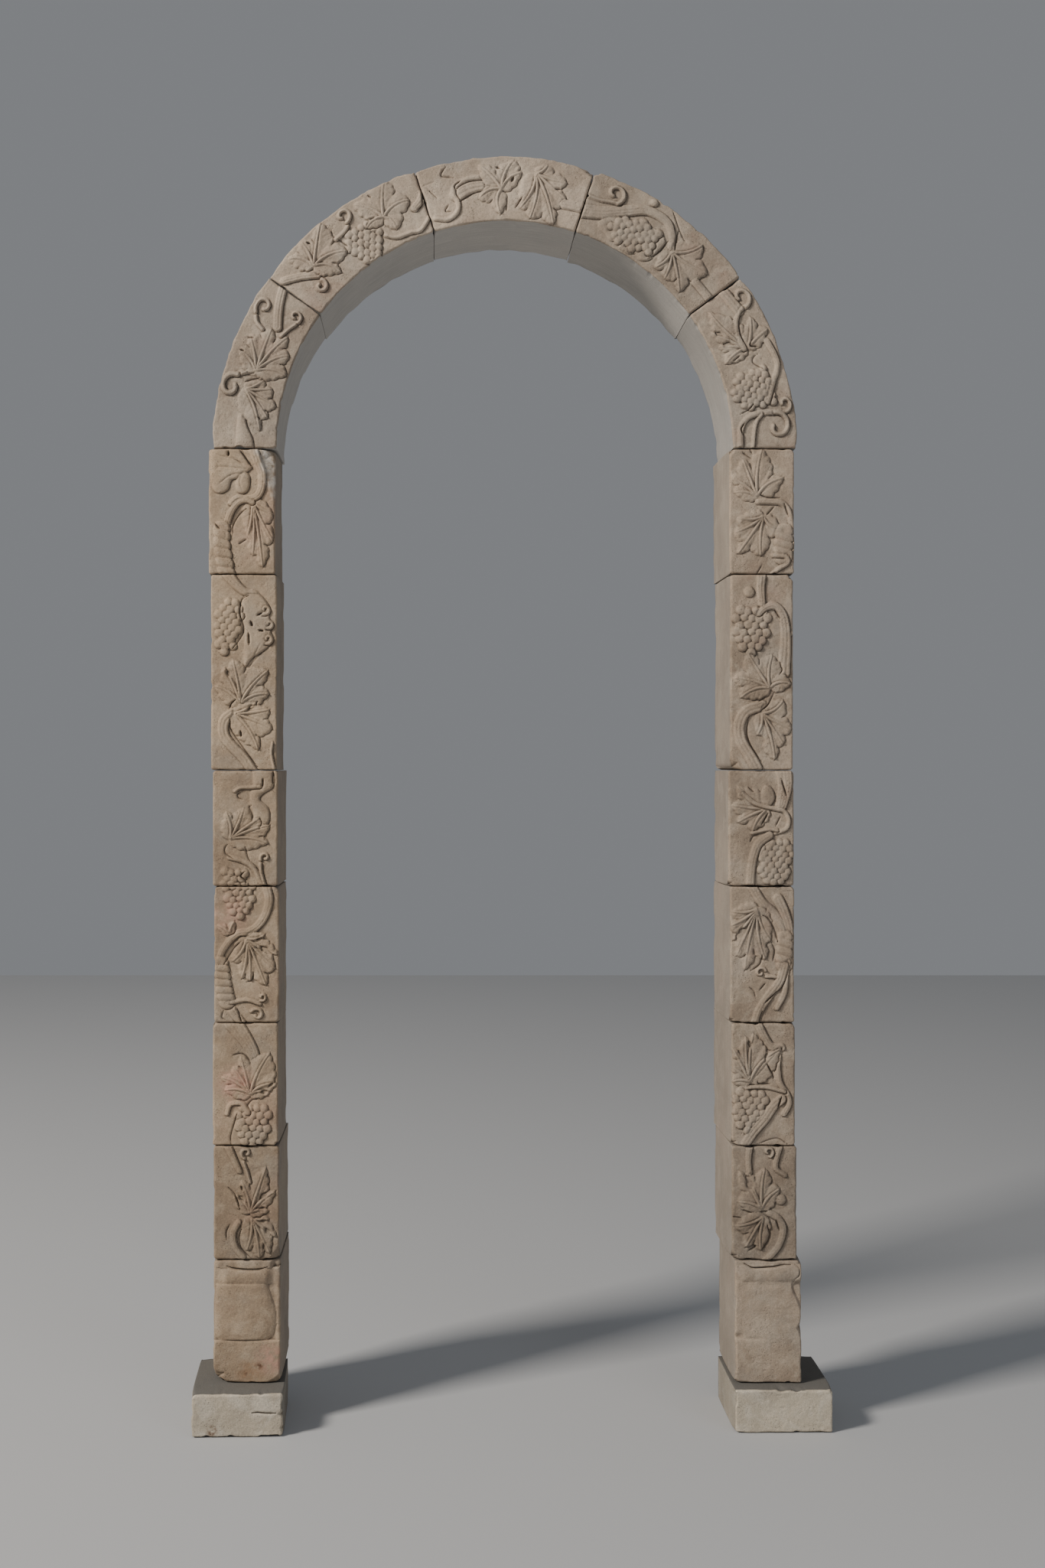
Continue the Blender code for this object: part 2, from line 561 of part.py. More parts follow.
def carve_voussoir_3(r):
    r.stem([(20, 47), (30, 54), (46, 55)], 32, 18, 7.5)
    r.stem([(40, 68), (28, 67), (20, 59), (18, 47), (20, 34), (18, 20), (11, 13), (3, 19)], 13, 11)
    r.leaf((48, 48), [(35, 88), (55, 93), (33, 35), (47, 9), (60, 74)], [(45, 70), (58, 76), (42, 32),
           (56, 32)])
    r.leaf((68, 74), [(74, 90), (87, 68), (89, 42), (84, 1), (67, 5), (60, 20)],
           [(78, 78), (81, 55), (82, 26), (75, 16), (65, 20)])
    r.stem([(88, 36), (101, 38)], 22, grooves=2, lift=7.0)
    r.cut([(4, 64), (8, 47)], 4)
    r.cut([(17, 92), (14, 84), (14, 78), (20, 73)], 6)
    r.cut([(24, 66), (20, 60), (20, 53)], 5)
    r.cut([(21, 35), (31, 45)], 5)
    r.cut([(14, 34), (11, 26), (15, 23)], 5)
    r.cut([(45, 82), (47, 79)], 8)
    r.cut([(55, 66), (54, 59)], 9)
    r.cut([(51, 25), (51, 15)], 6)
    r.cut([(57, 20), (61, 36)], 5)
    r.chip((100, 100), (46, 20))


def carve_voussoir_4(r):
    r.stem([(-1, 33), (12, 41), (24, 57), (34, 73), (42, 78), (49, 77), (54, 69), (58, 59), (60, 50)],
           33, 15, grooves=3)
    r.stem([(-1, 58), (8, 58), (15, 62), (20, 64)], 9, grooves=1)
    r.curl((15, 76), 23, 305, hand=1, width=10)
    r.boss((37, 91), 9)
    r.form([(12, 26), (14, 18), (20, 13), (25, 8), (29, 12), (33, 5), (40, 4), (44, 10), (49, 6),
           (54, 14),
            (55, 30), (55, 52), (46, 58), (28, 50), (16, 38)], 7.5)
    r.bunch((51, 40), (19, 27), 66, 8.5, 10.0)
    r.leaf((62, 45), [(73, 86), (87, 60), (84, 9), (70, 8), (60, 10)], [(76, 62), (81, 33), (76, 20),
           (65, 18)])
    r.stem([(86, 38), (101, 39)], 19)
    r.cut([(48, 97), (57, 80), (64, 70)], 4)
    r.cut([(57, 80), (59, 65), (63, 50)], 5)
    r.cut([(56, 55), (56, 35), (53, 15)], 5)
    r.chip((0, 100), (14, 14))


def carve_voussoir_5(r):
    r.stem([(-1, 62), (8, 64), (15, 66)], 24)
    r.curl((9, 80), 24, 330, hand=1, width=10)
    r.leaf((37, 50), [(6, 26), (18, 12), (29, 13), (42, 12)], [(15, 28), (24, 26), (35, 24)])
    r.leaf((37, 54), [(32, 95), (21, 77)], [(29, 78)])
    r.stem([(37, 47), (28, 46), (20, 54), (16, 65), (15, 72)], 14, 10, grooves=2)
    r.bunch((62, 70), (64, 10), 88, 8.0)
    r.stem([(38, 84), (48, 89), (55, 85), (61, 74), (72, 59)], 15, 12, grooves=2)
    r.stem([(101, 12), (88, 13), (80, 25), (78, 50), (79, 76)], 13)
    r.curl((74.5, 84), 19, 320, hand=1, width=9)
    r.stem([(79, 47), (83, 38), (90, 33), (101, 30)], 9, grooves=1)
    r.curl((87, 69), 31, 185, 0.8, hand=-1, width=11)
    r.cut([(35, 60), (37, 58), (39, 68)], 5)
    r.cut([(43, 64), (44, 56), (47, 53), (52, 63)], 5)
    r.cut([(40, 38), (42, 24)], 4)
    r.cut([(72, 37), (75, 28), (77, 15)], 4)
    r.cut([(83, 20), (87, 14), (91, 16)], 4)


def shape_base_left(r):
    """Plain die, a worn half-round body, a torus band and a thin torn lip."""
    edge = np.interp(r.q, (34, 38, 50, 58, 70, 80), (84, 90, 94, 92, 86, 80))
    reach = np.where(r.p > 46, np.maximum(edge - 46, 1), 44)
    round_off = np.clip(np.abs(r.p - 46) / reach, 0, 1)
    tall = np.clip(np.abs(r.q - 57) / 23, 0, 1)
    body = -1 + 12 * np.sqrt(1 - round_off ** 3) * (1 - 0.30 * tall ** 5)
    bulge = np.sqrt(np.clip(1 - ((r.q - 87) / 7) ** 2, 0, 1))
    side = np.where(r.p > 46, (r.p - 78) / 10, (13 - r.p) / 9)
    end = np.sqrt(1 - np.clip(side, 0, 1) ** 2)
    band = -3 + (6 + 8 * bulge) * end
    lip = np.where(r.p < 90, 3, -8)
    r.h = np.where(r.q < 34, front + 0.5, body)
    r.h = np.where(r.q > 80.5, band, r.h)
    r.h = np.where(r.q > 94 + 0.02 * np.abs(r.p - 50), lip, r.h)
    r.cut([(2, 34.5), (50, 34), (100, 34.5)], 5, -3)
    r.cut([(12, 96), (28, 93.5), (36, 92.5), (66, 92.5), (84, 94.5)], 5, 2)
    r.chip((0, 0), (46, 34), 13)
    r.chip((100, 0), (28, 20), 9)


def shape_base_right(r):
    """The same stone, more worn: a broken notch on its right and a cracked lip."""
    edge = np.interp(r.q, (36, 47, 60, 70, 74, 79, 84), (103, 99, 98, 92, 88, 85, 91))
    body = 5.5 + 3.5 * np.sqrt(np.clip(1 - (np.abs(r.p - 48) / 60) ** 2, 0, 1))
    body = body - 5 * np.clip((r.p - edge) / 4, 0, 1)
    hollow = np.exp(-((r.q - 80.5) / 3.2) ** 2)
    body = body - 3.5 * hollow
    bulge = np.sqrt(np.clip(1 - ((r.q - 90) / 7) ** 2, 0, 1))
    end = np.sqrt(1 - np.clip((9 - r.p) / 9, 0, 1) ** 2)
    r.h = np.where(r.q < 36, front + 0.5, body)
    r.h = np.where(r.q > 83, 3 + 8 * bulge * (0.35 + 0.65 * end), r.h)
    r.cut([(-4, 38), (8, 38.5), (18, 37)], 15, 3)
    r.cut([(15, 97), (28, 94), (60, 95), (84, 97), (95, 95), (97, 90), (88, 84)], 5, 1)
    r.cut([(89, 84), (86, 79), (89, 74), (96, 70)], 6, 1)
    r.chip((100, 45), (12, 24), 18)
    r.chip((0, 0), (14, 12), 10)


def fitted(heights, flat, index):
    """How badly one triangle follows the height field: its worst sample, that error, and the sum."""
    columns = heights.shape[1]
    rows_of = [n // columns for n in index]
    columns_of = [n % columns for n in index]
    low_r, high_r = min(rows_of), max(rows_of)
    low_c, high_c = min(columns_of), max(columns_of)
    rows, cols = np.mgrid[low_r:high_r + 1, low_c:high_c + 1]
    (ax, bx, cx), (ay, by, cy) = columns_of, rows_of
    span = (bx - ax) * (cy - ay) - (cx - ax) * (by - ay)
    if span == 0:
        return index[0], 0.0, 1e9
    second = ((cols - ax) * (cy - ay) - (cx - ax) * (rows - ay)) / span
    third = ((bx - ax) * (rows - ay) - (cols - ax) * (by - ay)) / span
    first = 1 - second - third
    inside = (first > -1e-9) & (second > -1e-9) & (third > -1e-9)
    plane = first * flat[index[0]] + second * flat[index[1]] + third * flat[index[2]]
    miss = np.abs(plane - heights[low_r:high_r + 1, low_c:high_c + 1]) * inside
    worst = int(miss.argmax())
    at = (low_r + worst // cols.shape[1]) * columns + low_c + worst % cols.shape[1]
    return at, float(miss.flat[worst]), float(miss.sum())


def triangulated(chosen, columns):
    points = [Vector((n % columns, n // columns)) for n in chosen]
    made = geometry.delaunay_2d_cdt(points, [], [], 0, 1e-6)
    origin = [chosen[group[0]] for group in made[3]]
    faces = []
    for face in made[2]:
        a, b, c = (origin[k] for k in face)
        turn = (b % columns - a % columns) * (c // columns - a // columns)
        turn -= (c % columns - a % columns) * (b // columns - a // columns)
        if turn:
            faces.append((a, b, c) if turn > 0 else (a, c, b))
    return faces


def swapped(faces, heights, flat, known):
    """Turns shared edges of pairs of triangles where the other diagonal follows the carving better."""
    columns = heights.shape[1]

    def cost(face):
        key = tuple(sorted(face))
        if key not in known:
            known[key] = fitted(heights, flat, face)
        return known[key][2]

    def turn(a, b, c):
        x = (b % columns - a % columns) * (c // columns - a // columns)
        return x - (c % columns - a % columns) * (b // columns - a // columns)

    for _ in range(3):
        owners = {}
        for number, face in enumerate(faces):
            for a, b in zip(face, face[1:] + face[:1]):
                owners[(a, b)] = number
        fixed = set()
        for (a, b), one in sorted(owners.items()):
            other = owners.get((b, a))
            if other is None or a > b or one in fixed or other in fixed:
                continue
            c = next(n for n in faces[one] if n not in (a, b))
            d = next(n for n in faces[other] if n not in (a, b))
            if turn(a, d, c) <= 0 or turn(d, b, c) <= 0:
                continue
            now = cost(faces[one]) + cost(faces[other])
            then = cost((a, d, c)) + cost((d, b, c))
            if then < now * 0.98:
                faces[one], faces[other] = (a, d, c), (d, b, c)
                fixed |= {one, other}
    return faces


def followed(heights, seeds, count):
    """Triangles over a height field, from the seeds on, adding the worst followed samples."""
    flat = heights.ravel()
    chosen = sorted(seeds)
    known = {}
    while True:
        faces = triangulated(chosen, heights.shape[1])
        if len(chosen) >= count:
            break
        worst = []
        for face in faces:
            key = tuple(sorted(face))
            if key not in known:
                known[key] = fitted(heights, flat, face)
            worst.append((-known[key][1], known[key][0]))
        room = min(count - len(chosen), max(12, len(chosen) // 5))
        taken = []
        for miss, at in sorted(worst):
            if -miss < 0.35 or len(taken) == room:
                break
            if at not in chosen and at not in taken:
                taken.append(at)
        if not taken:
            break
        chosen = sorted(chosen + taken)
    return chosen, swapped(faces, heights, flat, known)


def face_relief(width, height, shape, pitch=3.0):
    """The carved height field over one face, on an even grid of samples."""
    columns = int(round(width / pitch)) + 1
    rows = int(round(height / pitch)) + 1
    u, v = np.meshgrid(np.linspace(0, width, columns), np.linspace(0, height, rows))
    relief = Relief(width, height, u, v)
    shape(relief)
    return relief


def material(name, colour):
    made = bpy.data.materials.new(name)
    made.use_nodes = True
    shader = made.node_tree.nodes["Principled BSDF"]
    shader.inputs["Base Color"].default_value = (*colour, 1.0)
    shader.inputs["Roughness"].default_value = 0.9
    return made


def stone(name, colour, width, height, depth, shape, place, arcs=1):
    """One block: its carved front, plain sides straight back and a flat back.
    place turns shares of the face and a depth into a point, arcs is how often the long edges bend."""
    relief = face_relief(width / stroke, height / stroke, shape)
    rows, columns = relief.h.shape
    bends = [round(k * (columns - 1) / arcs) for k in range(arcs + 1)]
    top = (rows - 1) * columns
    seeds = set(bends) | {top + k for k in bends}
    for k in range(1, 5):
        seeds |= {round(k * (rows - 1) / 5) * columns, (round(k * (rows - 1) / 5) + 1) * columns - 1}
    count = int(points_per_face_width * max(width, height) / ring_face)
    chosen, faces = followed(relief.h, seeds, count)
    index = {n: k for k, n in enumerate(chosen)}
    points = []
    for n in chosen:
        share_u = (n % columns) / (columns - 1)
        share_v = (n // columns) / (rows - 1)
        points.append(place(share_u, share_v, (front - relief.h.flat[n]) * stroke))
    polygons = [tuple(index[n] for n in face) for face in faces]
    back = {}
    for n in sorted({*bends, *(top + k for k in bends)}):
        back[n] = len(points)
        points.append(place((n % columns) / (columns - 1), (n // columns) / (rows - 1), depth))
    low = [n for n in chosen if n < columns]
    high = [n for n in chosen if n >= top][::-1]
    right = [n for n in chosen if n % columns == columns - 1]
    left = [n for n in chosen if n % columns == 0][::-1]
    rim = low[:-1] + right[:-1] + high[:-1] + left[:-1]
    start = 0
    corners = [k for k, n in enumerate(rim) if n in back] + [len(rim)]
    for start, stop in zip(corners, corners[1:]):
        run = [index[rim[k % len(rim)]] for k in range(start, stop + 1)]
        here = back[rim[start]]
        there = back[rim[stop % len(rim)]]
        middle = (len(run) - 1) // 2
        for k, (a, b) in enumerate(zip(run, run[1:])):
            polygons.append((b, a, here if k <= middle - 1 or len(run) == 2 else there))
        centre = run[middle] if len(run) > 2 else run[-1]
        polygons.append((centre, here, there))
    for a, b in zip(bends, bends[1:]):
        polygons.append((back[b], back[a], back[top + a]))
        polygons.append((back[b], back[top + a], back[top + b]))
    return add(name, colour, points, polygons)


def add(name, colour, points, polygons):
    points = np.array([tuple(point) for point in points])
    centre = (points.min(axis=0) + points.max(axis=0)) / 2
    mesh = bpy.data.meshes.new(name)
    mesh.from_pydata((points - centre).tolist(), [], polygons)
    made = bpy.data.objects.new(name, mesh)
    made.location = centre
    made.parent = surround
    made.data.materials.append(material(name, colour))
    bpy.context.scene.collection.objects.link(made)
    return made


def jamb_stone(name, colour, centre, width, low, high, depth, shape):
    def place(share_u, share_v, y):
        return centre - width / 2 + share_u * width, y, low + share_v * (high - low)

    return stone(name, colour, width, high - low, depth, shape, place)


def voussoir(name, colour, number, depth, shape):
    gap = joint / ring_inner / 2
    start = math.pi - number * voussoir_angle - gap
    sweep = voussoir_angle - 2 * gap
    middle = ring_inner + ring_face / 2

    def place(share_u, share_v, y):
        angle = start - share_u * sweep
        radius = ring_inner + share_v * ring_face
        return radius * math.cos(angle), y, springing_height + radius * math.sin(angle)

    return stone(name, colour, middle * sweep, ring_face, depth, shape, place, arcs=bends_per_voussoir)


def plinth(name, colour, size, place, turn):
    """A plain low block with worn, sloped edges round its top."""
    loops = (
        (0.0, 0.0),
        (plinth_height - plinth_edge - joint / 2, 0.0),
        (plinth_height - joint / 2, plinth_edge),
    )
    points = []
    polygons = []
    corner = plinth_edge
    for level, inset in loops:
        for sx, sy in ((-1, -1), (1, -1), (1, 1), (-1, 1)):
            x = sx * (size[0] / 2 - inset)
            y = sy * (size[1] / 2 - inset)
            first, second = (x - sx * corner, y), (x, y - sy * corner)
            pair = (second, first) if sx * sy > 0 else (first, second)
            pair = pair[::-1] if sx * sy > 0 else pair
            for px, py in (pair if sx * sy < 0 else pair[::-1]):
                angle = math.radians(turn)
                points.append((
                    place[0] + px * math.cos(angle) - py * math.sin(angle),
                    place[1] + px * math.sin(angle) + py * math.cos(angle),
                    level,
                ))
    for ring in range(len(loops) - 1):
        for k in range(8):
            a, b = ring * 8 + k, ring * 8 + (k + 1) % 8
            polygons.append((a, b, b + 8, a + 8))
    polygons.append(tuple(range(8))[::-1])
    polygons.append(tuple(range(16, 24)))
    return add(name, colour, points, polygons)


surround = bpy.data.objects.new("door_surround", None)
bpy.context.scene.collection.objects.link(surround)
stones = [
    plinth("plinth_left", (0.31, 0.26, 0.20), plinth_left_size, plinth_left_place, plinth_left_turn),
    plinth("plinth_right", (0.33, 0.27, 0.20), plinth_right_size, plinth_right_place, plinth_right_turn),
]
left_shapes = (
    shape_base_left, carve_jamb_left_1, carve_jamb_left_2, carve_jamb_left_3,
    carve_jamb_left_4, carve_jamb_left_5, carve_jamb_left_6,
)
right_shapes = (
    shape_base_right, carve_jamb_right_1, carve_jamb_right_2, carve_jamb_right_3,
    carve_jamb_right_4, carve_jamb_right_5, carve_jamb_right_6,
)
sides = (
    ("left", -1, left_widths, left_shifts, left_depths, left_shapes, (0.29, 0.215, 0.155)),
    ("right", 1, right_widths, right_shifts, right_depths, right_shapes, (0.28, 0.215, 0.16)),
)
for side, sign, widths, shifts, depths, shapes, colour in sides:
    level = plinth_height
    for number, height in enumerate(course_heights):
        name = f"jamb_{side}_{number}" if number else f"base_{side}"
        centre = sign * jamb_centre + shifts[number]
        low = level + joint / 2
        high = level + height - joint / 2
        level += height
        tint = tuple(c * (1 + 0.04 * math.sin(2.1 * number + sign)) for c in colour)
        stones.append(
            jamb_stone(name, tint, centre, widths[number], low, high, depths[number], shapes[number])
        )
arch_shapes = (carve_voussoir_1, carve_voussoir_2, carve_voussoir_3, carve_voussoir_4, carve_voussoir_5)
for number in range(voussoir_count):
    tint = tuple(c * (1 + 0.05 * math.sin(1.7 * number)) for c in (0.32, 0.26, 0.20))
    shape = arch_shapes[number % len(arch_shapes)]
    stones.append(voussoir(f"voussoir_{number + 1}", tint, number, voussoir_depths[number % 5], shape))

# The parent moves everything as one, so that the middle of the footprint stands over the origin.
corners = np.array([vertex.co + item.location for item in stones for vertex in item.data.vertices])
middle = (corners.min(axis=0) + corners.max(axis=0)) / 2
surround.location = (-middle[0], -middle[1], 0.0)
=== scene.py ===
import math

import bpy
import numpy as np
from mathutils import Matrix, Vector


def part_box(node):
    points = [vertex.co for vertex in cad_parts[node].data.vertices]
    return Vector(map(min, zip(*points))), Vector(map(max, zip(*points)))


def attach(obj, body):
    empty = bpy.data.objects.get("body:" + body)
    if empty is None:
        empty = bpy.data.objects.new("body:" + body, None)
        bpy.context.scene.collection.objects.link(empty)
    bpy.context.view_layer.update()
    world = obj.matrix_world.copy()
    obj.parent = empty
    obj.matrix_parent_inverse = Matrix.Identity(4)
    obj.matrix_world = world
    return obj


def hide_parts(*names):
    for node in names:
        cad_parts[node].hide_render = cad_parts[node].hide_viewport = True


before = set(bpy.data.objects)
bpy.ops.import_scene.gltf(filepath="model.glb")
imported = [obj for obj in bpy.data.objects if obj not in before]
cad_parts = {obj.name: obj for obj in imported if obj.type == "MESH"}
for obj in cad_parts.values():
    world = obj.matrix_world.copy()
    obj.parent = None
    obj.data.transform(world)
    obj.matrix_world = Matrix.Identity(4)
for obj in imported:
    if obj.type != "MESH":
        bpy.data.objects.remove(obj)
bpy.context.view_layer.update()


# The stones' sizes, as in the solids, in metres
opening_width = 1.014
joint = 0.0006
springing_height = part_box("voussoir_1")[0].z - joint / 2
ring_face = 0.1475
ground_depth = 0.008
strokes_across = 147.5
stroke = ring_face / strokes_across
front = ground_depth / stroke
ring_inner = opening_width / 2
jamb_centre = ring_inner + ring_face / 2
voussoir_count = 5
voussoir_angle = math.pi / voussoir_count
courses = 7
down_right = (0.78, -0.62)

# The mesh's pitch and the relief's widths and heights, in strokes of one millimetre
pitch = 1.65
flank = 2.6
moat = 3.2
soft = 2.3
ground = 3.2

left_depths = (0.240, 0.250, 0.225, 0.200, 0.240, 0.190, 0.190)
right_depths = (0.205, 0.225, 0.240, 0.220, 0.190, 0.205, 0.220)
voussoir_depths = (0.205, 0.228, 0.222, 0.230, 0.212)

left_5_width = 0.148
low_5, high_5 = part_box("jamb_left_5")
front_y = high_5.y - left_depths[5]
axis_x = low_5.x + left_5_width / 2 + jamb_centre


def ease(value, low, high):
    """From 0 at low to 1 at high, smoothly."""
    share = np.clip((value - low) / (high - low), 0, 1)
    return share * share * (3 - 2 * share)


def smooth(points):
    """A curve through the given points, as closer points."""
    steps = 4
    points = np.array(points, float)
    if len(points) < 3:
        return points
    ends = [2 * points[0] - points[1]], [2 * points[-1] - points[-2]]
    guide = np.vstack([ends[0], points, ends[1]])
    made = []
    for a, b, c, d in zip(guide, guide[1:], guide[2:], guide[3:]):
        for k in range(steps):
            t = k / steps
            bend = (2 * a - 5 * b + 4 * c - d) * t * t + (3 * b - a - 3 * c + d) * t ** 3
            made.append(0.5 * (2 * b + (c - a) * t + bend))
    return np.array(made + [points[-1]])


def near_line(u, v, line):
    """For each sample its distance from a line, the share of the length there, and its side."""
    best = np.full(u.shape, 1e9)
    share = np.zeros(u.shape)
    side = np.ones(u.shape)
    lengths = np.hypot(*np.diff(line, axis=0).T)
    total = lengths.sum()
    done = 0.0
    for (ax, ay), (bx, by), length in zip(line, line[1:], lengths):
        if length < 1e-9:
            continue
        dx = (bx - ax) / length
        dy = (by - ay) / length
        along = np.clip((u - ax) * dx + (v - ay) * dy, 0, length)
        gap = np.hypot(u - ax - along * dx, v - ay - along * dy)
        closer = gap < best
        best = np.where(closer, gap, best)
        share = np.where(closer, (done + along) / total, share)
        side = np.where(closer, np.sign((u - ax) * dy - (v - ay) * dx), side)
        done += length
    return best, share, side


def within(u, v, outline):
    """How far each sample lies inside a closed outline, below zero outside it."""
    closed = np.vstack([outline, outline[:1]])
    inside = np.zeros(u.shape, bool)
    for (ax, ay), (bx, by) in zip(closed, closed[1:]):
        if ay != by:
            inside ^= ((ay > v) != (by > v)) & (u < (bx - ax) * (v - ay) / (by - ay) + ax)
    gap = near_line(u, v, closed)[0]
    return np.where(inside, gap, -gap)


def unit(way):
    return way / max(np.hypot(*way), 1e-9)


def lobe_edge(start, end, root, tip, bulge):
    """A bulging edge of one lobe from start to end, without its last point."""
    way = end - start
    length = np.hypot(*way)
    out = np.array([way[1], -way[0]]) / max(length, 1e-9)
    axis = tip - root
    middle = (start + end) / 2 - root
    if (out[0] * axis[1] - out[1] * axis[0]) * (middle[0] * axis[1] - middle[1] * axis[0]) < 0:
        out = -out
    t = np.linspace(0, 1, 17)[:-1]
    full = t ** 0.68 if np.allclose(end, tip) else 1 - (1 - t) ** 0.68
    rise = bulge * length * 4 * full * (1 - full)
    teeth = max(1, round(length / 17))
    rise -= 0.125 * length ** 0.8 * (1 - np.abs(np.sin(np.pi * teeth * t))) * (t > 0.04)
    return start + np.outer(t, way) + np.outer(rise, out)


class Relief:
    """Heights in millimetres above the sunk floor over one face, at an even grid of samples.
    Places are shares of the face in hundredths, widths are millimetres. lee is the way down and to
    the right, where the carver cut the forms free of the ground most deeply."""

    def __init__(self, width, height, u, v, lee):
        self.width = width
        self.height = height
        self.u = u
        self.v = v
        self.step = (u[0, 1] - u[0, 0], v[1, 0] - v[0, 0])
        self.p = u / width * 100
        self.q = v / height * 100
        self.h = np.full(u.shape, ground)
        self.lee = lee

    def place(self, points):
        return [(p * self.width / 100, q * self.height / 100) for p, q in points]

    def window(self, line, reach):
        """The block of the grid within reach of a line."""
        line = np.array(line)
        low = (line.min(axis=0) - reach) / self.step
        high = (line.max(axis=0) + reach) / self.step
        columns = slice(max(0, int(low[0])), max(2, int(high[0]) + 2))
        rows = slice(max(0, int(low[1])), max(2, int(high[1]) + 2))
        return rows, columns

    def lay(self, where, inside, body):
        """Lays a raised form over what is there: a steep flank with a sunk line beside it on the lee
        side, and a softer one on the other."""
        if min(inside.shape) < 2:
            return
        under = self.h[where]
        down, across = np.gradient(inside, self.step[1], self.step[0])
        facing = -(across * self.lee[0] + down * self.lee[1])
        sharp = np.clip(0.5 + 0.95 * facing, 0, 1)
        rise = np.clip(inside / (flank * (1 + soft * (1 - sharp))), 0, 1)
        foot = (1 - sharp) * np.maximum(0.72 * under, ground)
        lifted = foot + (body - foot) * np.sqrt(1 - (1 - rise) ** 2)
        beside = np.clip(-inside / moat, 0, 1)
        sunk = under * (1 - (1 - beside) * (0.03 + 0.97 * sharp))
        self.h[where] = np.where(inside > 0, lifted, np.minimum(under, sunk))

    def form(self, points, lift=8.5):
        """A raised form with the given closed outline and a rounded top."""
        outline = smooth(self.place(list(points) + [points[0]]))[:-1]
        where = self.window(outline, moat)
        inside = within(self.u[where], self.v[where], outline)
        self.lay(where, inside, lift * (0.80 + 0.20 * np.clip(inside / 12, 0, 1)))

    def stem(self, points, start, end=None, lift=8.5, grooves=2):
        """A vine stem with lengthwise grooves, of the given widths at its two ends."""
        end = start if end is None else end
        line = smooth(self.place(points))
        where = self.window(line, max(start, end) + moat)
        gap, share, side = near_line(self.u[where], self.v[where], line)
        half = (start + (end - start) * share) / 2
        across = np.clip(gap / half, 0, 1)
        crown = 0.30 if grooves < 2 else 0.18
        body = lift * (1 - crown + crown * np.sqrt(1 - across ** 2))
        for k in range(grooves):
            at = (k + 1) / (grooves + 1) * 2 - 1
            body -= 1.25 * np.exp(-((side * across - at) / 0.13) ** 2)
        self.lay(where, half - gap, body)

    def leaf(self, base, tips, notches=(), lift=9.5):
        """A leaf of toothed lobes that spread from its base, each roof-shaped, with a rib between
        two thin veins. The notches part the lobes; one that isn't given lies half way out."""
        root = np.array(self.place([base])[0])
        ends = np.array(self.place(tips))
        deep = [np.array(point) for point in self.place(notches)]
        angles = np.arctan2(ends[:, 1] - root[1], ends[:, 0] - root[0]) % math.tau
        order = np.argsort(angles)
        spans = (np.roll(angles[order], -1) - angles[order]) % math.tau
        order = np.roll(order, -((int(np.argmax(spans)) + 1) % len(order)))
        ends = ends[order]
        angles = angles[order]
        main = unit(sum(unit(end - root) for end in ends))
        heel = root - main * 4.5
        outline = [lobe_edge(heel, ends[0], root, ends[0], 0.24)]
        for k, (one, two) in enumerate(zip(ends, ends[1:])):
            span = (angles[k + 1] - angles[k]) % math.tau
            way = angles[k] + span / 2
            reach = min(np.hypot(*(one - root)), np.hypot(*(two - root)))
            between = root + reach * (0.56 - 0.10 * span) * np.array([math.cos(way), math.sin(way)])
            for point in deep:
                turn = math.atan2(point[1] - root[1], point[0] - root[0])
                if (turn - angles[k]) % math.tau < span:
                    between = point
            outline.append(lobe_edge(one, between, root, one, 0.22))
            outline.append(lobe_edge(between, two, root, two, 0.22))
        outline.append(lobe_edge(ends[-1], heel, root, ends[-1], 0.24))
        outline = np.concatenate(outline)
        where = self.window(outline, moat)
        u = self.u[where]
        v = self.v[where]
        inside = within(u, v, outline)
        best = np.full(u.shape, 1e9)
        second = np.full(u.shape, 1e9)
        share = np.zeros(u.shape)
        along = np.zeros(u.shape)
        for end in ends:
            reach = np.hypot(*(end - root))
            bend = root + 0.5 * reach * unit(0.7 * main + unit(end - root))
            t = np.linspace(0, 1, 7)[:, None]
            axis = (1 - t) ** 2 * root + 2 * t * (1 - t) * bend + t * t * end
            gap, here, _ = near_line(u, v, axis)
            second = np.minimum(second, np.maximum(gap, best))
            share = np.where(gap < best, here, share)
            along = np.where(gap < best, here * reach, along)
            best = np.minimum(best, gap)
        room = np.minimum(best + np.maximum(inside, 0), (best + second) / 2)
        across = np.clip(best / np.maximum(room, 0.8), 0, 1)
        shape = 0.96 - 0.30 * across ** 1.6 - 0.07 * share
        thin = np.clip(1.25 - 0.7 * share, 0.5, 1)
        shown = np.clip(share * 6, 0, 1)
        shape += 0.09 * thin * shown * np.exp(-(best / 1.7) ** 2)
        shape -= 0.30 * thin * shown * np.exp(-((best - 3.0 * thin - 0.9) / 1.3) ** 2)
        wave = np.abs(np.sin((along - 0.8 * best) / 4.2))
        shape -= 0.05 * np.exp(-(wave / 0.42) ** 2) * np.clip(across * 3 - 0.6, 0, 1)
        self.lay(where, inside, lift * shape)

    def curl(self, eye, radius, start, turns=0.85, width=8.0, hand=1, lift=9.0):
        """A tendril that winds in to its eye, from an angle in degrees counted from the right."""
        centre = np.array(self.place([eye])[0])
        line = []
        steps = int(18 * turns) + 1
        for k in range(steps + 1):
            share = k / steps
            angle = math.radians(start + hand * 360 * turns * share)
            size = radius * (1 - share * 0.70)
            line.append(centre + size * np.array([math.cos(angle), math.sin(angle)]))
        where = self.window(line, width + moat)
        gap, share, _ = near_line(self.u[where], self.v[where], np.array(line))
        half = width / 2 * (1 - 0.12 * share)
        across = np.clip(gap / half, 0, 1)
        self.lay(where, half - gap, lift * (0.74 + 0.26 * np.sqrt(1 - across ** 2)))

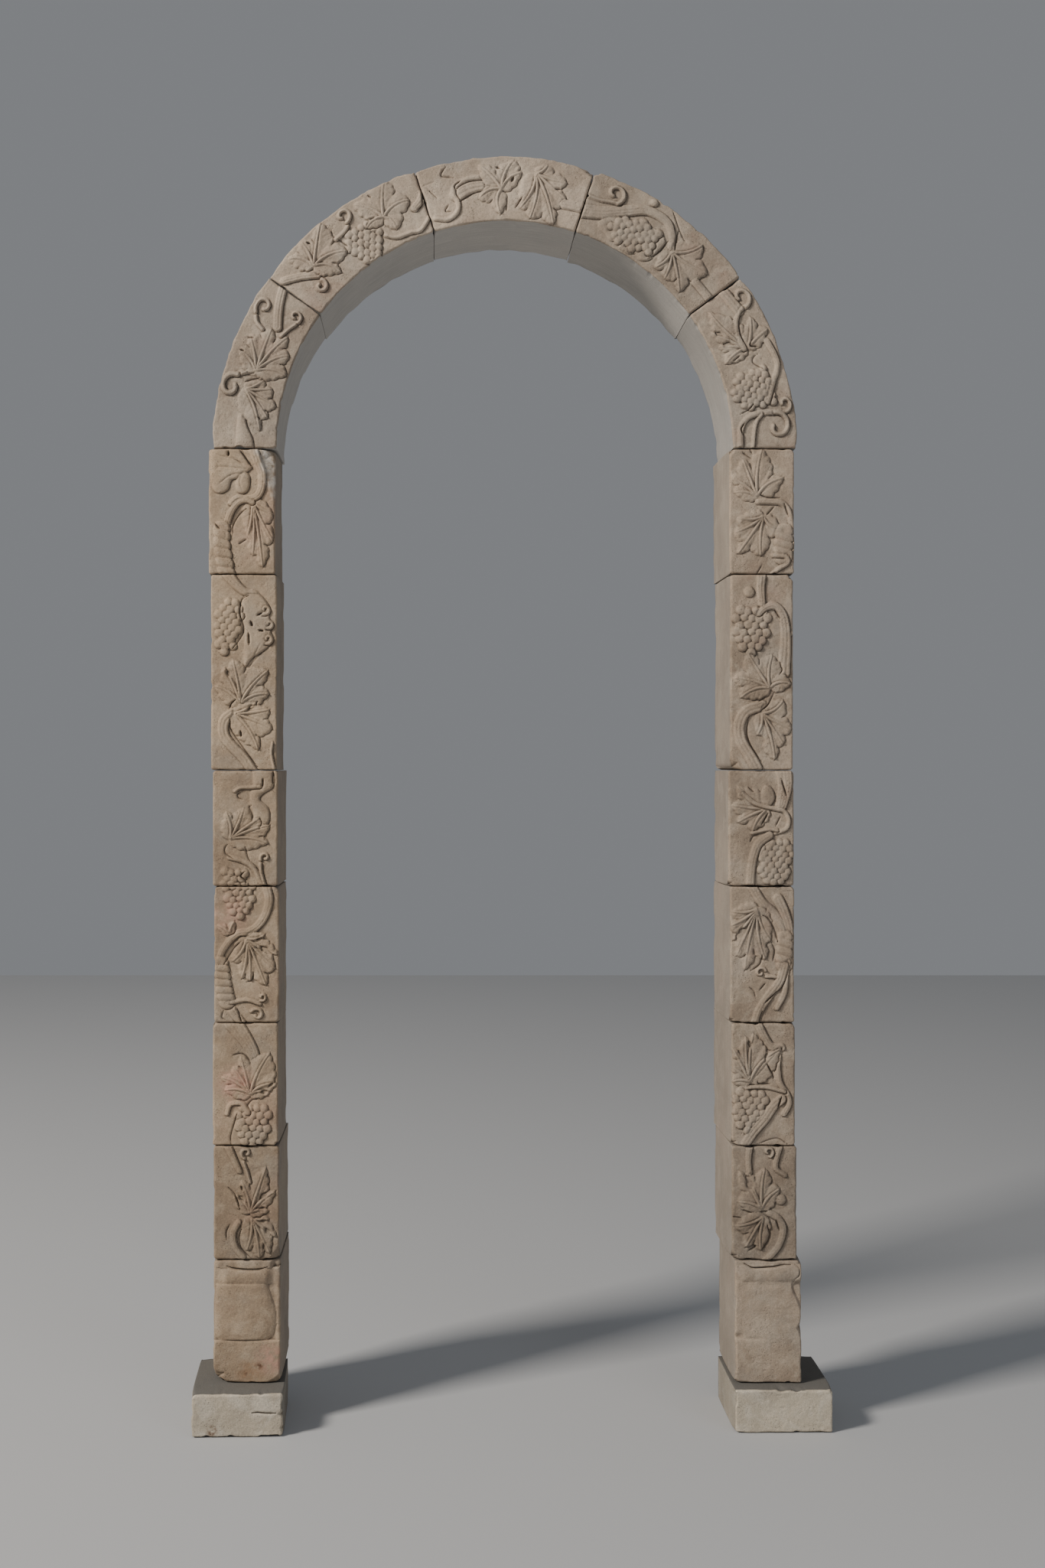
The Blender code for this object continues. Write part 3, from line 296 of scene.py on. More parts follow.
    def boss(self, at, radius, lift=8.5):
        """A round knob."""
        centre = self.place([at])
        where = self.window(centre, radius + moat)
        gap = np.hypot(self.u[where] - centre[0][0], self.v[where] - centre[0][1])
        across = np.clip(gap / radius, 0, 1)
        self.lay(where, radius - gap, lift * (0.7 + 0.3 * np.sqrt(1 - across ** 2)))

    def bunch(self, top, tip, width, berry, lift=9.5):
        """A bunch of grapes: rows of round berries on one mound, from its top to its tip."""
        start, end = (np.array(point) for point in self.place([top, tip]))
        reach = np.hypot(*(end - start))
        axis = (end - start) / reach
        cross = np.array([axis[1], -axis[0]])
        where = self.window([start, end], width / 2 + berry + moat)
        u = self.u[where]
        v = self.v[where]
        inside = np.full(u.shape, -1e9)
        body = np.zeros(u.shape)
        rows = max(2, int(round(reach / (berry * 1.62))))
        for row in range(rows):
            share = (row + 0.5) / rows
            wide = width * math.sin(math.pi * min(0.94, share * 0.80 + 0.20)) ** 0.6
            count = max(1, int(round(wide / (berry * 1.9) - 0.25)))
            count += (row + count) % 2 if count > 1 else 0
            for k in range(count):
                shift = (k - (count - 1) / 2) * berry * 1.85
                stray = 0.20 * berry * math.sin(5.1 * row + 3.7 * k)
                at = start + axis * (share * reach + stray) + cross * (shift + 0.7 * stray)
                size = berry * (1.05 + 0.10 * math.sin(2.3 * row + 4.9 * k))
                gap = np.hypot(u - at[0], v - at[1])
                rise = lift * (1 - 0.15 * (2 * shift / max(width, 1)) ** 2)
                dome = rise * (0.70 + 0.30 * np.sqrt(np.clip(1 - (gap / size) ** 2.2, 0, 1)))
                body = np.where(gap < size, np.maximum(body, dome), body)
                inside = np.maximum(inside, size - gap)
        body = np.maximum(body, lift * 0.66)
        self.lay(where, inside + 1.2, body)

    def knot(self, points, width, rings=5, lift=9.5):
        """A swollen binding of rings across a stem."""
        line = smooth(self.place(points))
        where = self.window(line, width)
        gap, share, side = near_line(self.u[where], self.v[where], line)
        wave = np.abs(np.sin(np.pi * (share * rings + 0.55 * side * gap / width)))
        swell = 1 - (1 - wave) ** 2
        half = width / 2 * (0.80 + 0.20 * swell)
        across = np.clip(gap / half, 0, 1)
        body = lift * (0.70 + 0.30 * np.sqrt(1 - across ** 2)) * (0.66 + 0.34 * swell)
        self.lay(where, half - gap, body)

    def cuts(self, width, *lines, depth=1.0):
        """Drilled pockets or sharp lines that run out at both ends, down to below the floor."""
        for points in lines:
            line = smooth(self.place(points))
            where = self.window(line, width)
            gap, share, _ = near_line(self.u[where], self.v[where], line)
            taper = np.clip(np.minimum(share, 1 - share) * 5, 0.35, 1)
            fall = ease(1 - gap / (width * 0.62 * taper), 0, 1)
            floor = self.h[where] * (1 - fall) - depth * fall
            self.h[where] = np.where(fall > 0, np.minimum(self.h[where], floor), self.h[where])

    def scores(self, *lines, depth=1.6):
        """Shallow drawn lines on what is there."""
        for points in lines:
            line = smooth(self.place(points))
            where = self.window(line, 4)
            gap, share, _ = near_line(self.u[where], self.v[where], line)
            taper = np.clip(np.minimum(share, 1 - share) * 4, 0.2, 1)
            self.h[where] -= depth * taper * np.exp(-(gap / 1.5) ** 2)

    def chip(self, corner, reach, depth=18.0):
        """A broken corner: corner is two shares of 0 or 100, reach is how far it runs each way."""
        gap_u = np.abs(self.p - corner[0]) / 100 * self.width / reach[0]
        gap_v = np.abs(self.q - corner[1]) / 100 * self.height / reach[1]
        fall = np.clip(1 - gap_u - gap_v, 0, 1)
        self.h -= depth * fall


def carve_jamb_left_1(r):
    r.stem([(38, 33), (30, 24), (33, 12), (45, 3)], 14)
    r.leaf((58, 38), [(86, 36), (97, 20), (86, 5), (70, 1), (50, 8)], [(78, 28), (76, 14), (60, 12)])
    r.leaf((56, 42), [(80, 82), (95, 61), (85, 43), (42, 70), (30, 58)], [(72, 66), (70, 53), (57, 62)])
    r.stem([(22, 100), (30, 90), (40, 78)], 18, 12)
    r.stem([(56, 68), (51, 78), (46, 86)], 7, grooves=0)
    r.curl((50, 94), 13, 250, hand=-1)
    r.cuts(5, [(22, 64), (33, 57), (41, 44)], [(25, 31), (20, 25), (20, 18)])
    r.cuts(7, [(42, 65), (44, 61)])
    r.cuts(4, [(43, 27), (39, 20), (43, 10), (60, 0)])
    r.scores([(30, 58), (44, 48), (56, 42)])
    r.chip((100, 0), (26, 34))


def carve_jamb_left_2(r):
    r.bunch((62, 33), (60, -4), 70, 8.5)
    r.stem([(32, 100), (46, 90), (58, 80), (64, 72)], 40, 24, 7.5, 4)
    r.leaf((57, 42), [(87, 76), (99, 51), (88, 43), (42, 74), (31, 65), (13, 56), (18, 45)],
        [(75, 57), (85, 48), (58, 66), (45, 62), (32, 57), (28, 50)])
    r.stem([(54, 27), (45, 34), (35, 35), (26, 33), (22, 26)], 13, 10, grooves=1)
    r.cuts(5, [(30, 73.5), (42, 75), (51, 73), (58, 67)], [(72, 39), (60, 37), (54, 33), (56, 30)])
    r.cuts(4, [(38, 27), (33, 18), (28, 8), (28, 0)])
    r.chip((0, 100), (10, 14))
    r.chip((100, 0), (10, 12))


def carve_jamb_left_3(r):
    r.bunch((38, 106), (40, 76), 62, 7.5)
    r.stem([(80, 100), (84, 90), (78, 79), (66, 71), (52, 67), (38, 66), (25, 61), (12, 52), (9, 44)],
        20, 14)
    r.leaf((24, 66), [(4, 72), (32, 75)])
    r.leaf((50, 62), [(79, 65), (100, 50), (94, 40), (80, 27), (55, 30), (42, 32), (28, 45)],
        [(71, 56), (82, 45), (78, 37), (60, 37), (48, 36), (42, 45)])
    r.stem([(18, 18), (28, 9), (42, 0)], 20)
    r.knot([(10, 43), (14, 29), (20, 16)], 38, 5)
    r.stem([(27, 15), (50, 17), (70, 14)], 10, grooves=1)
    r.curl((74, 19), 9, 250, hand=1, width=6)
    r.curl((66, 6), 15, 150, hand=-1)
    r.cuts(4, [(42, 60), (30, 54), (16, 43)], [(36, 10), (43, 0)], [(15, 9), (12, 4), (18, 2)])
    r.cuts(5, [(60, 35), (57, 31), (50, 30)])


def carve_jamb_left_4(r):
    r.form([(60, 104), (62, 90), (58, 82), (57, 72), (62, 64), (66, 56), (78, 50), (86, 56), (87, 64),
        (83, 69), (72, 75), (78, 80), (90, 84), (94, 89), (93, 96), (88, 104)], 8.0)
    r.stem([(72, 86), (58, 85.5), (42, 85), (34, 82)], 10, 8, grooves=0)
    r.leaf((27, 41), [(20, 65), (48, 68), (72, 59), (88, 53), (86, 37)],
        [(31, 58), (60, 57), (72, 51), (72, 43)])
    r.stem([(26, 25), (45, 22), (62, 16), (78, 0)], 12)
    r.bunch((34, 14), (32, -6), 52, 8.0)
    r.stem([(80, 0), (74, 12), (73, 20)], 8, grooves=0)
    r.curl((80, 25), 11, 210, hand=-1, width=7)
    r.cuts(4, [(92, 100), (92, 91), (93, 87)], [(50, 13), (43, 9), (50, 5), (52, 0)])
    r.cuts(5, [(77, 93), (77, 86)], [(42, 81), (38, 79), (40, 76), (46, 75)],
        [(60, 70), (56, 68), (60, 63), (60, 58)], [(23, 36), (19, 33), (20, 28), (32, 23.5)],
        [(50, 34), (54, 25), (57, 22)])


def carve_jamb_left_5(r):
    r.stem([(24, 101), (38, 95), (52, 91), (66, 90), (79, 86)], 26, 11)
    r.form([(50, 51), (62, 57), (76, 60), (90, 64), (96, 67), (90, 71), (95, 74), (88, 78), (90, 82),
        (82, 87), (70, 90), (55, 90), (46, 86), (46, 79), (52, 72), (50, 62)], 8.0)
    r.bunch((32, 87), (20, 59), 54, 8.5, 8.5)
    r.curl((86, 67), 11, 250, hand=1, width=8)
    r.curl((88, 74.5), 10, 240, hand=1, width=7)
    r.curl((82, 82), 11, 250, hand=1, width=8)
    r.cuts(5, [(57, 89), (47, 87), (44, 80), (50, 72), (42, 66), (33, 62)])
    r.cuts(8, [(60, 76), (63, 73.5)])
    r.cuts(7, [(57, 70), (58, 64)])
    r.cuts(6, [(70, 79), (78, 80.5)], [(72, 71.5), (80, 71)])
    r.leaf((45, 34), [(33, 57), (87, 51), (89, 39), (5, 43), (19, 53)],
        [(51, 50), (70, 43), (28, 48), (20, 44)])
    r.stem([(32, 29), (20, 25), (20, 18), (33, 12), (50, 6), (64, -1)], 24, 22, grooves=2)
    r.leaf((36, 29), [(70, 35), (89, 31), (93, 21), (72, 10)], [(78, 30), (80, 26), (68, 18)])
    r.stem([(96, 0), (91, 8), (93, 14)], 9, 5, grooves=0)
    r.cuts(5, [(38, 36), (31, 34), (28, 31)])
    r.cuts(7, [(45, 20), (46, 17)])
    r.cuts(4, [(29, 26), (30, 21), (48, 12), (72, 1)])
    r.scores([(52, 51), (66, 56), (80, 62)], [(56, 50), (68, 60), (78, 66)])


def carve_jamb_left_6(r):
    r.form([(66, 85), (56, 93), (47, 101), (36, 104), (14, 104), (4, 98), (3, 86), (4, 74), (9, 66),
        (20, 64.5), (30, 68), (35, 75), (48, 77)], 8.5)
    r.form([(47, 80), (41, 74), (42, 67), (50, 64), (58, 66), (62, 72), (61, 79), (54, 82)])
    r.leaf((66, 58), [(81, 5), (97, 26), (97, 48), (66, 15), (58, 30)],
        [(87, 40), (84, 24), (73, 14), (60, 24)])
    r.stem([(66, 102), (73, 90), (80, 80), (79, 69), (72, 62), (58, 60), (44, 61), (34, 57)], 21, 14,
        8.5)
    r.stem([(22, 30), (27, 40), (34, 50), (44, 57), (56, 59), (66, 57)], 17, 12, 9.0)
    r.knot([(20, 36), (20, 24), (23, 13), (28, -2)], 38, 5)
    r.cuts(4, [(46, 100), (55, 93), (65, 85)], [(37, 32), (37, 39), (47, 48), (57, 52)])
    r.cuts(6, [(30, 98), (30, 94)], [(10, 40), (17, 36)], [(45, 24), (57, 28)])
    r.scores([(66, 84), (40, 91), (6, 96)], [(62, 83), (36, 85), (8, 86)],
        [(56, 80), (34, 79), (12, 70)], [(58, 84), (34, 95), (24, 102)], [(50, 80), (47, 73), (51, 67)],
        depth=2.3)
    r.chip((100, 100), (40, 125), 17)


def carve_jamb_right_1(r):
    r.stem([(28, 101), (25, 88), (27, 76)], 15, 12)
    r.stem([(74, 101), (68, 88), (68, 80), (82, 74)], 15, 10)
    r.curl((56, 95), 12, 290, hand=1, width=7)
    r.leaf((45, 45), [(10, 79), (22, 77), (50, 81), (74, 63), (8, 51)],
        [(16, 73), (36, 70), (58, 66), (22, 60)])
    r.boss((75, 53), 12)
    r.leaf((48, 38), [(4, 30), (20, 11), (44, 8)], [(24, 24), (34, 17)])
    r.stem([(58, 41), (72, 36), (79, 27), (73, 14), (61, 5), (50, -1)], 15)
    r.cuts(5, [(15, 44), (30, 41.5)], [(68, 35), (73, 26)], [(54, 31), (58, 20), (46, 8)],
        [(32, 13), (36, 12), (25, 8)])
    r.cuts(4, [(0, 38), (14, 37)])
    r.chip((0, 0), (18, 22))


def carve_jamb_right_2(r):
    r.stem([(40, 101), (50, 90), (62, 81), (78, 80)], 18)
    r.stem([(74, 78), (72, 65), (75, 52), (87, 42), (90, 34), (82, 26)], 13)
    r.leaf((28, 52), [(34, 92), (22, 89), (2, 79), (-2, 65), (0, 52), (78, 80)],
        [(29, 80), (14, 74), (8, 70), (8, 59), (52, 70)])
    r.stem([(14, 47), (50, 48), (83, 44)], 9, grooves=1)
    r.bunch((30, 45), (24, 10), 70, 8.5)
    r.stem([(78, 38), (65, 32), (52, 22), (35, 12), (22, 2)], 22)
    r.cuts(5, [(55, 67), (64, 58), (66, 53)], [(78, 40), (72, 30)])
    r.cuts(4, [(41, 53), (43, 50.5), (62, 50.5)])
    r.cuts(3, [(40, 1), (70, 6), (88, 1)])
    r.scores([(28, 52), (44, 60), (60, 70), (76, 79)])
    r.chip((0, 0), (16, 22))


def carve_jamb_right_3(r):
    r.stem([(33, 101), (50, 88), (68, 80), (82, 70), (88, 60), (85, 50)], 21)
    r.stem([(74, 91), (83, 82), (91, 70), (93, 56)], 24, 17)
    r.leaf((42, 84), [(2, 82), (-2, 71), (3, 60), (22, 38), (9, 49), (63, 60), (54, 46)],
        [(12, 76), (12, 66), (18, 55), (24, 50), (36, 54), (56, 56)])
    r.knot([(84, 62), (84, 52), (84, 43)], 38, 3)
    r.curl((47, 37), 12, 20, hand=1, width=7)
    r.stem([(56, 34), (66, 34), (74, 33)], 8, grooves=0)
    r.stem([(90, 45), (86, 34), (84, 22), (72, 11)], 13, grooves=1)
    r.stem([(84, 42), (76, 30), (60, 20), (46, 10), (38, -1)], 20)
    r.cuts(6, [(51, 79), (60, 76), (69, 68), (74, 59)])
    r.cuts(5, [(64, 59), (69, 53), (66, 45)], [(50, 50), (46, 43), (32, 38)], [(46, 24), (55, 29)],
        [(30, 26), (37, 23), (40, 18)])
    r.cuts(4, [(77, 25), (52, 14)], [(50, 9), (44, 0)])
    r.chip((0, 0), (12, 18))


def carve_jamb_right_4(r):
    r.stem([(84, 101), (86, 86), (80, 70)], 38, 26, grooves=4)
    r.leaf((58, 67), [(13, 87), (5, 70), (13, 55), (36, 47)], [(22, 74), (20, 62), (30, 56)])
    r.form([(50, 70), (48, 78), (53, 86), (60, 87), (68, 83), (70, 75), (62, 69)])
    r.stem([(22, 80), (42, 71), (70, 67), (84, 65), (91, 58), (88, 50), (70, 46)], 10, grooves=1)
    r.stem([(36, 46), (60, 49), (74, 48)], 8, grooves=0)
    r.bunch((72, 40), (68, 2), 76, 8.0)
    r.stem([(62, 44), (46, 37), (38, 26), (34, 12), (33, -1)], 19)
    r.cuts(5, [(80, 93), (88, 78)], [(30, 85.5), (39, 81)], [(60, 63), (50, 53)], [(79, 60), (72, 52)],
        [(33, 38), (38, 43), (46, 45)])
    r.chip((0, 0), (14, 18))


def carve_jamb_right_5(r):
    r.stem([(50, 101), (48, 93), (50, 85)], 22, 16)
    r.boss((30, 91), 12)
    r.boss((93, 70), 9)
    r.bunch((34, 83), (32, 58), 76, 9.0)
    r.stem([(45, 80), (55, 83), (70, 84), (82, 80), (87, 72), (87, 62), (84, 50)], 14, 30)
    r.leaf((62, 42), [(27, 60), (66, 59), (97, 44), (4, 47), (16, 37)],
        [(46, 54), (78, 49), (26, 50), (22, 43)])
    r.stem([(50, 33), (25, 30), (14, 23), (17, 15), (30, 8), (42, 1)], 25)
    r.leaf((50, 29), [(84, 36), (98, 21), (84, 13), (70, 5), (42, 18)],
        [(82, 27), (84, 18), (74, 12), (54, 15)])
    r.cuts(5, [(70, 82), (79, 77.5)], [(30, 28), (26, 20), (32, 13), (50, 4)])
    r.cuts(6, [(58, 38), (45, 35)])
    r.cuts(4, [(70, 40), (60, 33.5), (47, 30)])
    r.chip((0, 0), (26, 30))
    r.chip((100, 100), (14, 16))


def carve_jamb_right_6(r):
    r.leaf((42, 62), [(50, 101), (20, 92), (1, 77), (7, 65), (84, 77)],
        [(34, 84), (14, 80), (14, 71), (60, 76)])
    r.stem([(97, 20), (95, 40), (90, 51), (79, 57), (60, 58), (44, 58)], 14, grooves=1)
    r.leaf((52, 46), [(80, 35), (48, 14), (12, 16), (7, 33), (12, 45)],
        [(59, 30), (32, 23), (20, 26), (17, 38)])
    r.knot([(84, 33), (83, 24), (82, 15)], 44, 3)
    r.stem([(67, 15), (86, 14), (89, 9), (74, 4), (64, -1)], 11, grooves=1)
    r.cuts(5, [(20, 97), (34, 92)], [(32, 100), (35, 96)], [(84, 56), (91, 46)], [(69, 54), (57, 47)])
    r.cuts(4, [(49, 65), (48, 63), (60, 61), (78, 61)], [(50, 7), (42, 0)])
    r.scores([(42, 62), (60, 69), (80, 76)])
    r.chip((0, 100), (14, 18))


def carve_voussoir_1(r):
    r.form([(-2, 35), (6, 37), (14, 47), (22, 54), (20, 62), (8, 62), (-2, 62)])
    r.leaf((36, 58), [(11, 27), (20, 17), (29, 7), (40, 18), (44, 34)],
        [(20, 32), (25, 22), (33, 20), (40, 30)])
    r.stem([(47, 48), (46.5, 62), (43.5, 75)], 14, 12, grooves=1)
    r.curl((36, 80), 27, 345, hand=1, width=12)
    r.leaf((48, 50), [(51, 3), (65, 10), (76, 24), (76, 52), (67, 79), (57, 86)],
        [(57, 18), (67, 24), (68, 40), (68, 60), (60, 70)])
    r.stem([(73, 64), (75.5, 78), (80.5, 87)], 9, grooves=0)
    r.curl((85, 79), 21, 150, hand=-1, width=9)
    r.stem([(102, 72), (90, 60), (78, 45)], 20)
    r.stem([(74, 34), (80, 29), (87, 21)], 8, grooves=0)
    r.curl((89.5, 30), 15, 235, hand=1, width=8)
    r.cuts(5, [(40, 62), (45, 40)], [(57, 77), (57, 84)], [(65, 80), (66, 71)])


def carve_voussoir_2(r):
    r.stem([(3, 76), (11, 60), (19, 42)], 18)
    r.curl((15, 27), 16, 30, hand=-1, width=10)
    r.bunch((56, 58), (54, -4), 84, 8.5)
    r.leaf((21, 55), [(14, 92), (26, 97), (41, 98), (43, 37), (31, 18)],
        [(21, 84), (31, 80), (38, 60), (31, 38)])
    r.stem([(42, 62), (49, 64), (52, 68)], 10, grooves=1)
    r.curl((53, 85), 18, 270, hand=1, width=9)
    r.leaf((73, 50), [(61, 91), (83, 104), (92, 58), (60, 48), (77, 24)],
        [(70, 84), (84, 75), (84, 45), (66, 36)])
    r.stem([(69, 25), (75, 14), (85, 12), (92, 10), (101, 26)], 10, grooves=1)
    r.stem([(93, 44), (98, 52), (101, 62)], 18)
    r.cuts(5, [(28, 89), (29, 83)], [(43, 60), (45, 42)], [(71, 92), (72, 86)])
    r.cuts(4, [(94, 40), (98, 45), (100, 60)])


def carve_voussoir_3(r):
    r.stem([(20, 47), (30, 54), (46, 55)], 32, 18, 7.5)
    r.stem([(40, 68), (28, 67), (20, 59), (18, 47), (20, 34), (18, 20), (11, 13), (3, 19)], 13, 11)
    r.leaf((48, 48), [(35, 88), (55, 93), (33, 35), (47, 9), (60, 74)],
        [(45, 70), (58, 76), (42, 32), (56, 32)])
    r.leaf((68, 74), [(74, 90), (87, 68), (89, 42), (84, 1), (67, 5), (60, 20)],
        [(78, 78), (81, 55), (82, 26), (75, 16), (65, 20)])
    r.stem([(88, 36), (101, 38)], 22, grooves=2, lift=7.0)
    r.cuts(4, [(4, 64), (8, 47)])
    r.cuts(6, [(17, 92), (14, 84), (14, 78), (20, 73)], [(51, 25), (51, 15)])
    r.cuts(5, [(24, 66), (20, 60), (20, 53)], [(21, 35), (31, 45)], [(14, 34), (11, 26), (15, 23)],
        [(57, 20), (61, 36)])
    r.cuts(8, [(45, 82), (47, 79)])
    r.cuts(9, [(55, 66), (54, 59)])
    r.scores([(0, 71), (10, 73)], [(88, 88), (96, 84)])
    r.chip((100, 100), (46, 20))


def carve_voussoir_4(r):
    r.stem([(-1, 33), (12, 41), (24, 57), (34, 73), (42, 78), (49, 77), (54, 69), (58, 59), (60, 50)],
        33, 15, grooves=3)
    r.stem([(-1, 58), (8, 58), (15, 62), (20, 64)], 9, grooves=1)
    r.curl((15, 76), 23, 305, hand=1, width=10)
    r.boss((37, 91), 9)
    r.form([(12, 26), (14, 18), (20, 13), (25, 8), (29, 12), (33, 5), (40, 4), (44, 10), (49, 6),
        (54, 14), (55, 30), (55, 52), (46, 58), (28, 50), (16, 38)], 7.5)
    r.bunch((51, 40), (19, 27), 66, 8.5, 10.0)
    r.leaf((62, 45), [(73, 86), (87, 60), (84, 9), (70, 8), (60, 10)],
        [(76, 62), (81, 33), (76, 20), (65, 18)])
    r.stem([(86, 38), (101, 39)], 19)
    r.cuts(4, [(48, 97), (57, 80), (64, 70)])
    r.cuts(5, [(57, 80), (59, 65), (63, 50)], [(56, 55), (56, 35), (53, 15)])
    r.chip((0, 100), (14, 14))


def carve_voussoir_5(r):
    r.stem([(-1, 62), (8, 64), (15, 66)], 24)
    r.curl((9, 80), 24, 330, hand=1, width=10)
    r.leaf((37, 50), [(6, 26), (18, 12), (29, 13), (42, 12)], [(15, 28), (24, 26), (35, 24)])
    r.leaf((37, 54), [(32, 95), (21, 77)], [(29, 78)])
    r.stem([(37, 47), (28, 46), (20, 54), (16, 65), (15, 72)], 14, 10, grooves=2)
    r.bunch((62, 70), (64, 10), 88, 8.0)
    r.stem([(38, 84), (48, 89), (55, 85), (61, 74), (72, 59)], 15, 12, grooves=2)
    r.stem([(101, 12), (88, 13), (80, 25), (78, 50), (79, 76)], 13)
    r.curl((74.5, 84), 19, 320, hand=1, width=9)
    r.stem([(79, 47), (83, 38), (90, 33), (101, 30)], 9, grooves=1)
    r.curl((87, 69), 31, 185, 0.8, hand=-1, width=11)
    r.cuts(5, [(35, 60), (37, 58), (39, 68)], [(43, 64), (44, 56), (47, 53), (52, 63)])
    r.cuts(4, [(40, 38), (42, 24)], [(72, 37), (75, 28), (77, 15)], [(83, 20), (87, 14), (91, 16)])


def shape_base_left(r):
    """Plain die, a worn cushion, a torus band and a thin torn lip."""
    wave = 2.2 * (noise(r.p, r.q, 0 * r.p, 16, 61) - 0.5)
    edge = np.interp(r.q, (34, 38, 48, 58, 68, 76, 81), (80, 88, 93.5, 93, 87, 82, 80)) + wave
    left = np.interp(r.q, (34, 39, 60, 81), (9, 3, 2, 4))
    round_off = np.clip(np.abs(r.p - 46) / np.maximum(np.where(r.p > 46, edge - 46, 46 - left), 1), 0, 1)
    low_end = np.clip((45 - r.q) / 11, 0, 1) ** 2 * np.abs(r.p - 46) / 46
    body = 1.5 + 9 * np.sqrt(np.clip(1 - round_off ** 3.2, 0, 1)) * (1 - 0.7 * low_end)
    body = body + (4.5 - body) * ease(r.p, 90, 96) * (r.p > edge)
    top = 93.2 + 1.2 * (noise(r.p, 0 * r.p, 0 * r.p, 12, 62) - 0.5) + 1.5 * ((r.p - 50) / 50) ** 2
    bulge = np.sqrt(np.clip(1 - ((r.q - 86.5) / 7) ** 2, 0, 1))
    end = ease(r.p, 5, 22 + wave) * ease(r.p, 89, 76)
    band = 2 + 8 * bulge * end + 2.5 * ease(r.p, 89, 95)
    lip = 3.2 + 2.2 * noise(r.p, r.q, 0 * r.p, 9, 63) - 9 * ease(r.p, 84, 92) - 2 * ease(r.p, 8, 3)
    r.h = body + (front + 0.3 - body) * ease(r.q, 35.4, 34.0)
    r.h = r.h + (band - r.h) * ease(r.q, 80.0, 81.4)
    r.h = np.where(r.q > top, lip, r.h)
    r.cuts(4, [(2, 35), (30, 34.6), (60, 34.8), (98, 35)], depth=-4)
    r.cuts(5, [(20, 95.5), (27, 94), (35, 93), (52, 92.3), (68, 92.6), (80, 94.5)])
    r.chip((0, 0), (52, 34), 12)
    r.chip((0, 6), (24, 30), 5)
    r.chip((100, 0), (34, 22), 11)


def shape_base_right(r):
    """The same stone, more worn: its mouldings are nearly gone, and the lip is cracked."""
    wave = 2.6 * (noise(r.p, r.q, 0 * r.p, 14, 71) - 0.5)
    edge = np.interp(r.q, (36, 47, 60, 70, 74, 79, 84), (103, 99, 97, 91, 86.5, 85, 91)) + wave
    body = 5.8 + 2.8 * np.sqrt(np.clip(1 - (np.abs(r.p - 46) / 62) ** 2, 0, 1))
    body = body - 4.5 * ease(r.p, edge, edge + 3)
    body = body - 3.0 * np.exp(-((r.q - 81 + wave) / 3.4) ** 2) * ease(r.p, 4, 20)
    bulge = np.sqrt(np.clip(1 - ((r.q - 89.5) / 7) ** 2, 0, 1))
    band = 3.6 + 5.6 * bulge * (0.30 + 0.70 * ease(r.p, 2, 16)) - 2.5 * ease(r.p, 97, 101)
    r.h = body + (band - body) * ease(r.q, 81.5, 84.5)
    r.h = r.h + (front + 0.2 - r.h) * ease(r.q, 38, 34.5)
    soft_pit = np.exp(-((r.p - 5) / 9) ** 2 - ((r.q - 38) / 2.6) ** 2)
    r.h -= 5.5 * soft_pit + 1.8 * np.exp(-((r.p - 26) / 14) ** 2 - ((r.q - 36.5) / 1.4) ** 2)
    r.cuts(5, [(14, 97.5), (21, 95.5), (28, 94), (44, 94.3), (60, 95), (74, 96.3), (84, 96.5)])
    r.cuts(3.2, [(84, 97), (91, 96), (96.5, 93), (96, 88), (90, 85)], depth=-3)
    r.cuts(3.6, [(90, 85), (86, 80), (88, 75), (93, 71)], depth=-2)
    r.chip((100, 45), (13, 24), 19)
    r.chip((0, 0), (14, 12), 10)
    r.chip((100, 100), (10, 14), 6)


def scatter(x, y, z, seed):
    """A fixed random number from 0 to 1 for each whole-numbered place."""
    n = x * 374761393 + y * 668265263 + z * 1103515245 + seed * 1274126177
    n = (n ^ (n >> 13)) & 0xFFFFFFFF
    n = (n * 1274126177) & 0xFFFFFFFF
    n = n ^ (n >> 16)
    return (n & 0xFFFFFF) / float(0xFFFFFF)


def noise(x, y, z, size, seed=0):
    """Smooth noise from 0 to 1 whose lumps are about that size, all in the same unit."""
    x, y, z = (np.asarray(n, float) / size for n in (x, y, z))
    fx, fy, fz = np.floor(x), np.floor(y), np.floor(z)
    ux, uy, uz = ((t - f) * (t - f) * (3 - 2 * (t - f)) for t, f in ((x, fx), (y, fy), (z, fz)))
    ix, iy, iz = (f.astype(np.int64) for f in (fx, fy, fz))
    total = 0.0
    for i in (0, 1):
        for j in (0, 1):
            for k in (0, 1):
                weight = (ux if i else 1 - ux) * (uy if j else 1 - uy) * (uz if k else 1 - uz)
                total = total + weight * scatter(ix + i, iy + j, iz + k, seed)
    return total


def blurred(h, times):
    for _ in range(times):
        padded = np.pad(h, 1, mode="edge")
        h = (padded[:-2, 1:-1] + padded[2:, 1:-1] + 2 * padded[1:-1, 1:-1]) / 4
        padded = np.pad(h, 1, mode="edge")
        h = (padded[1:-1, :-2] + padded[1:-1, 2:] + 2 * padded[1:-1, 1:-1]) / 4
    return h


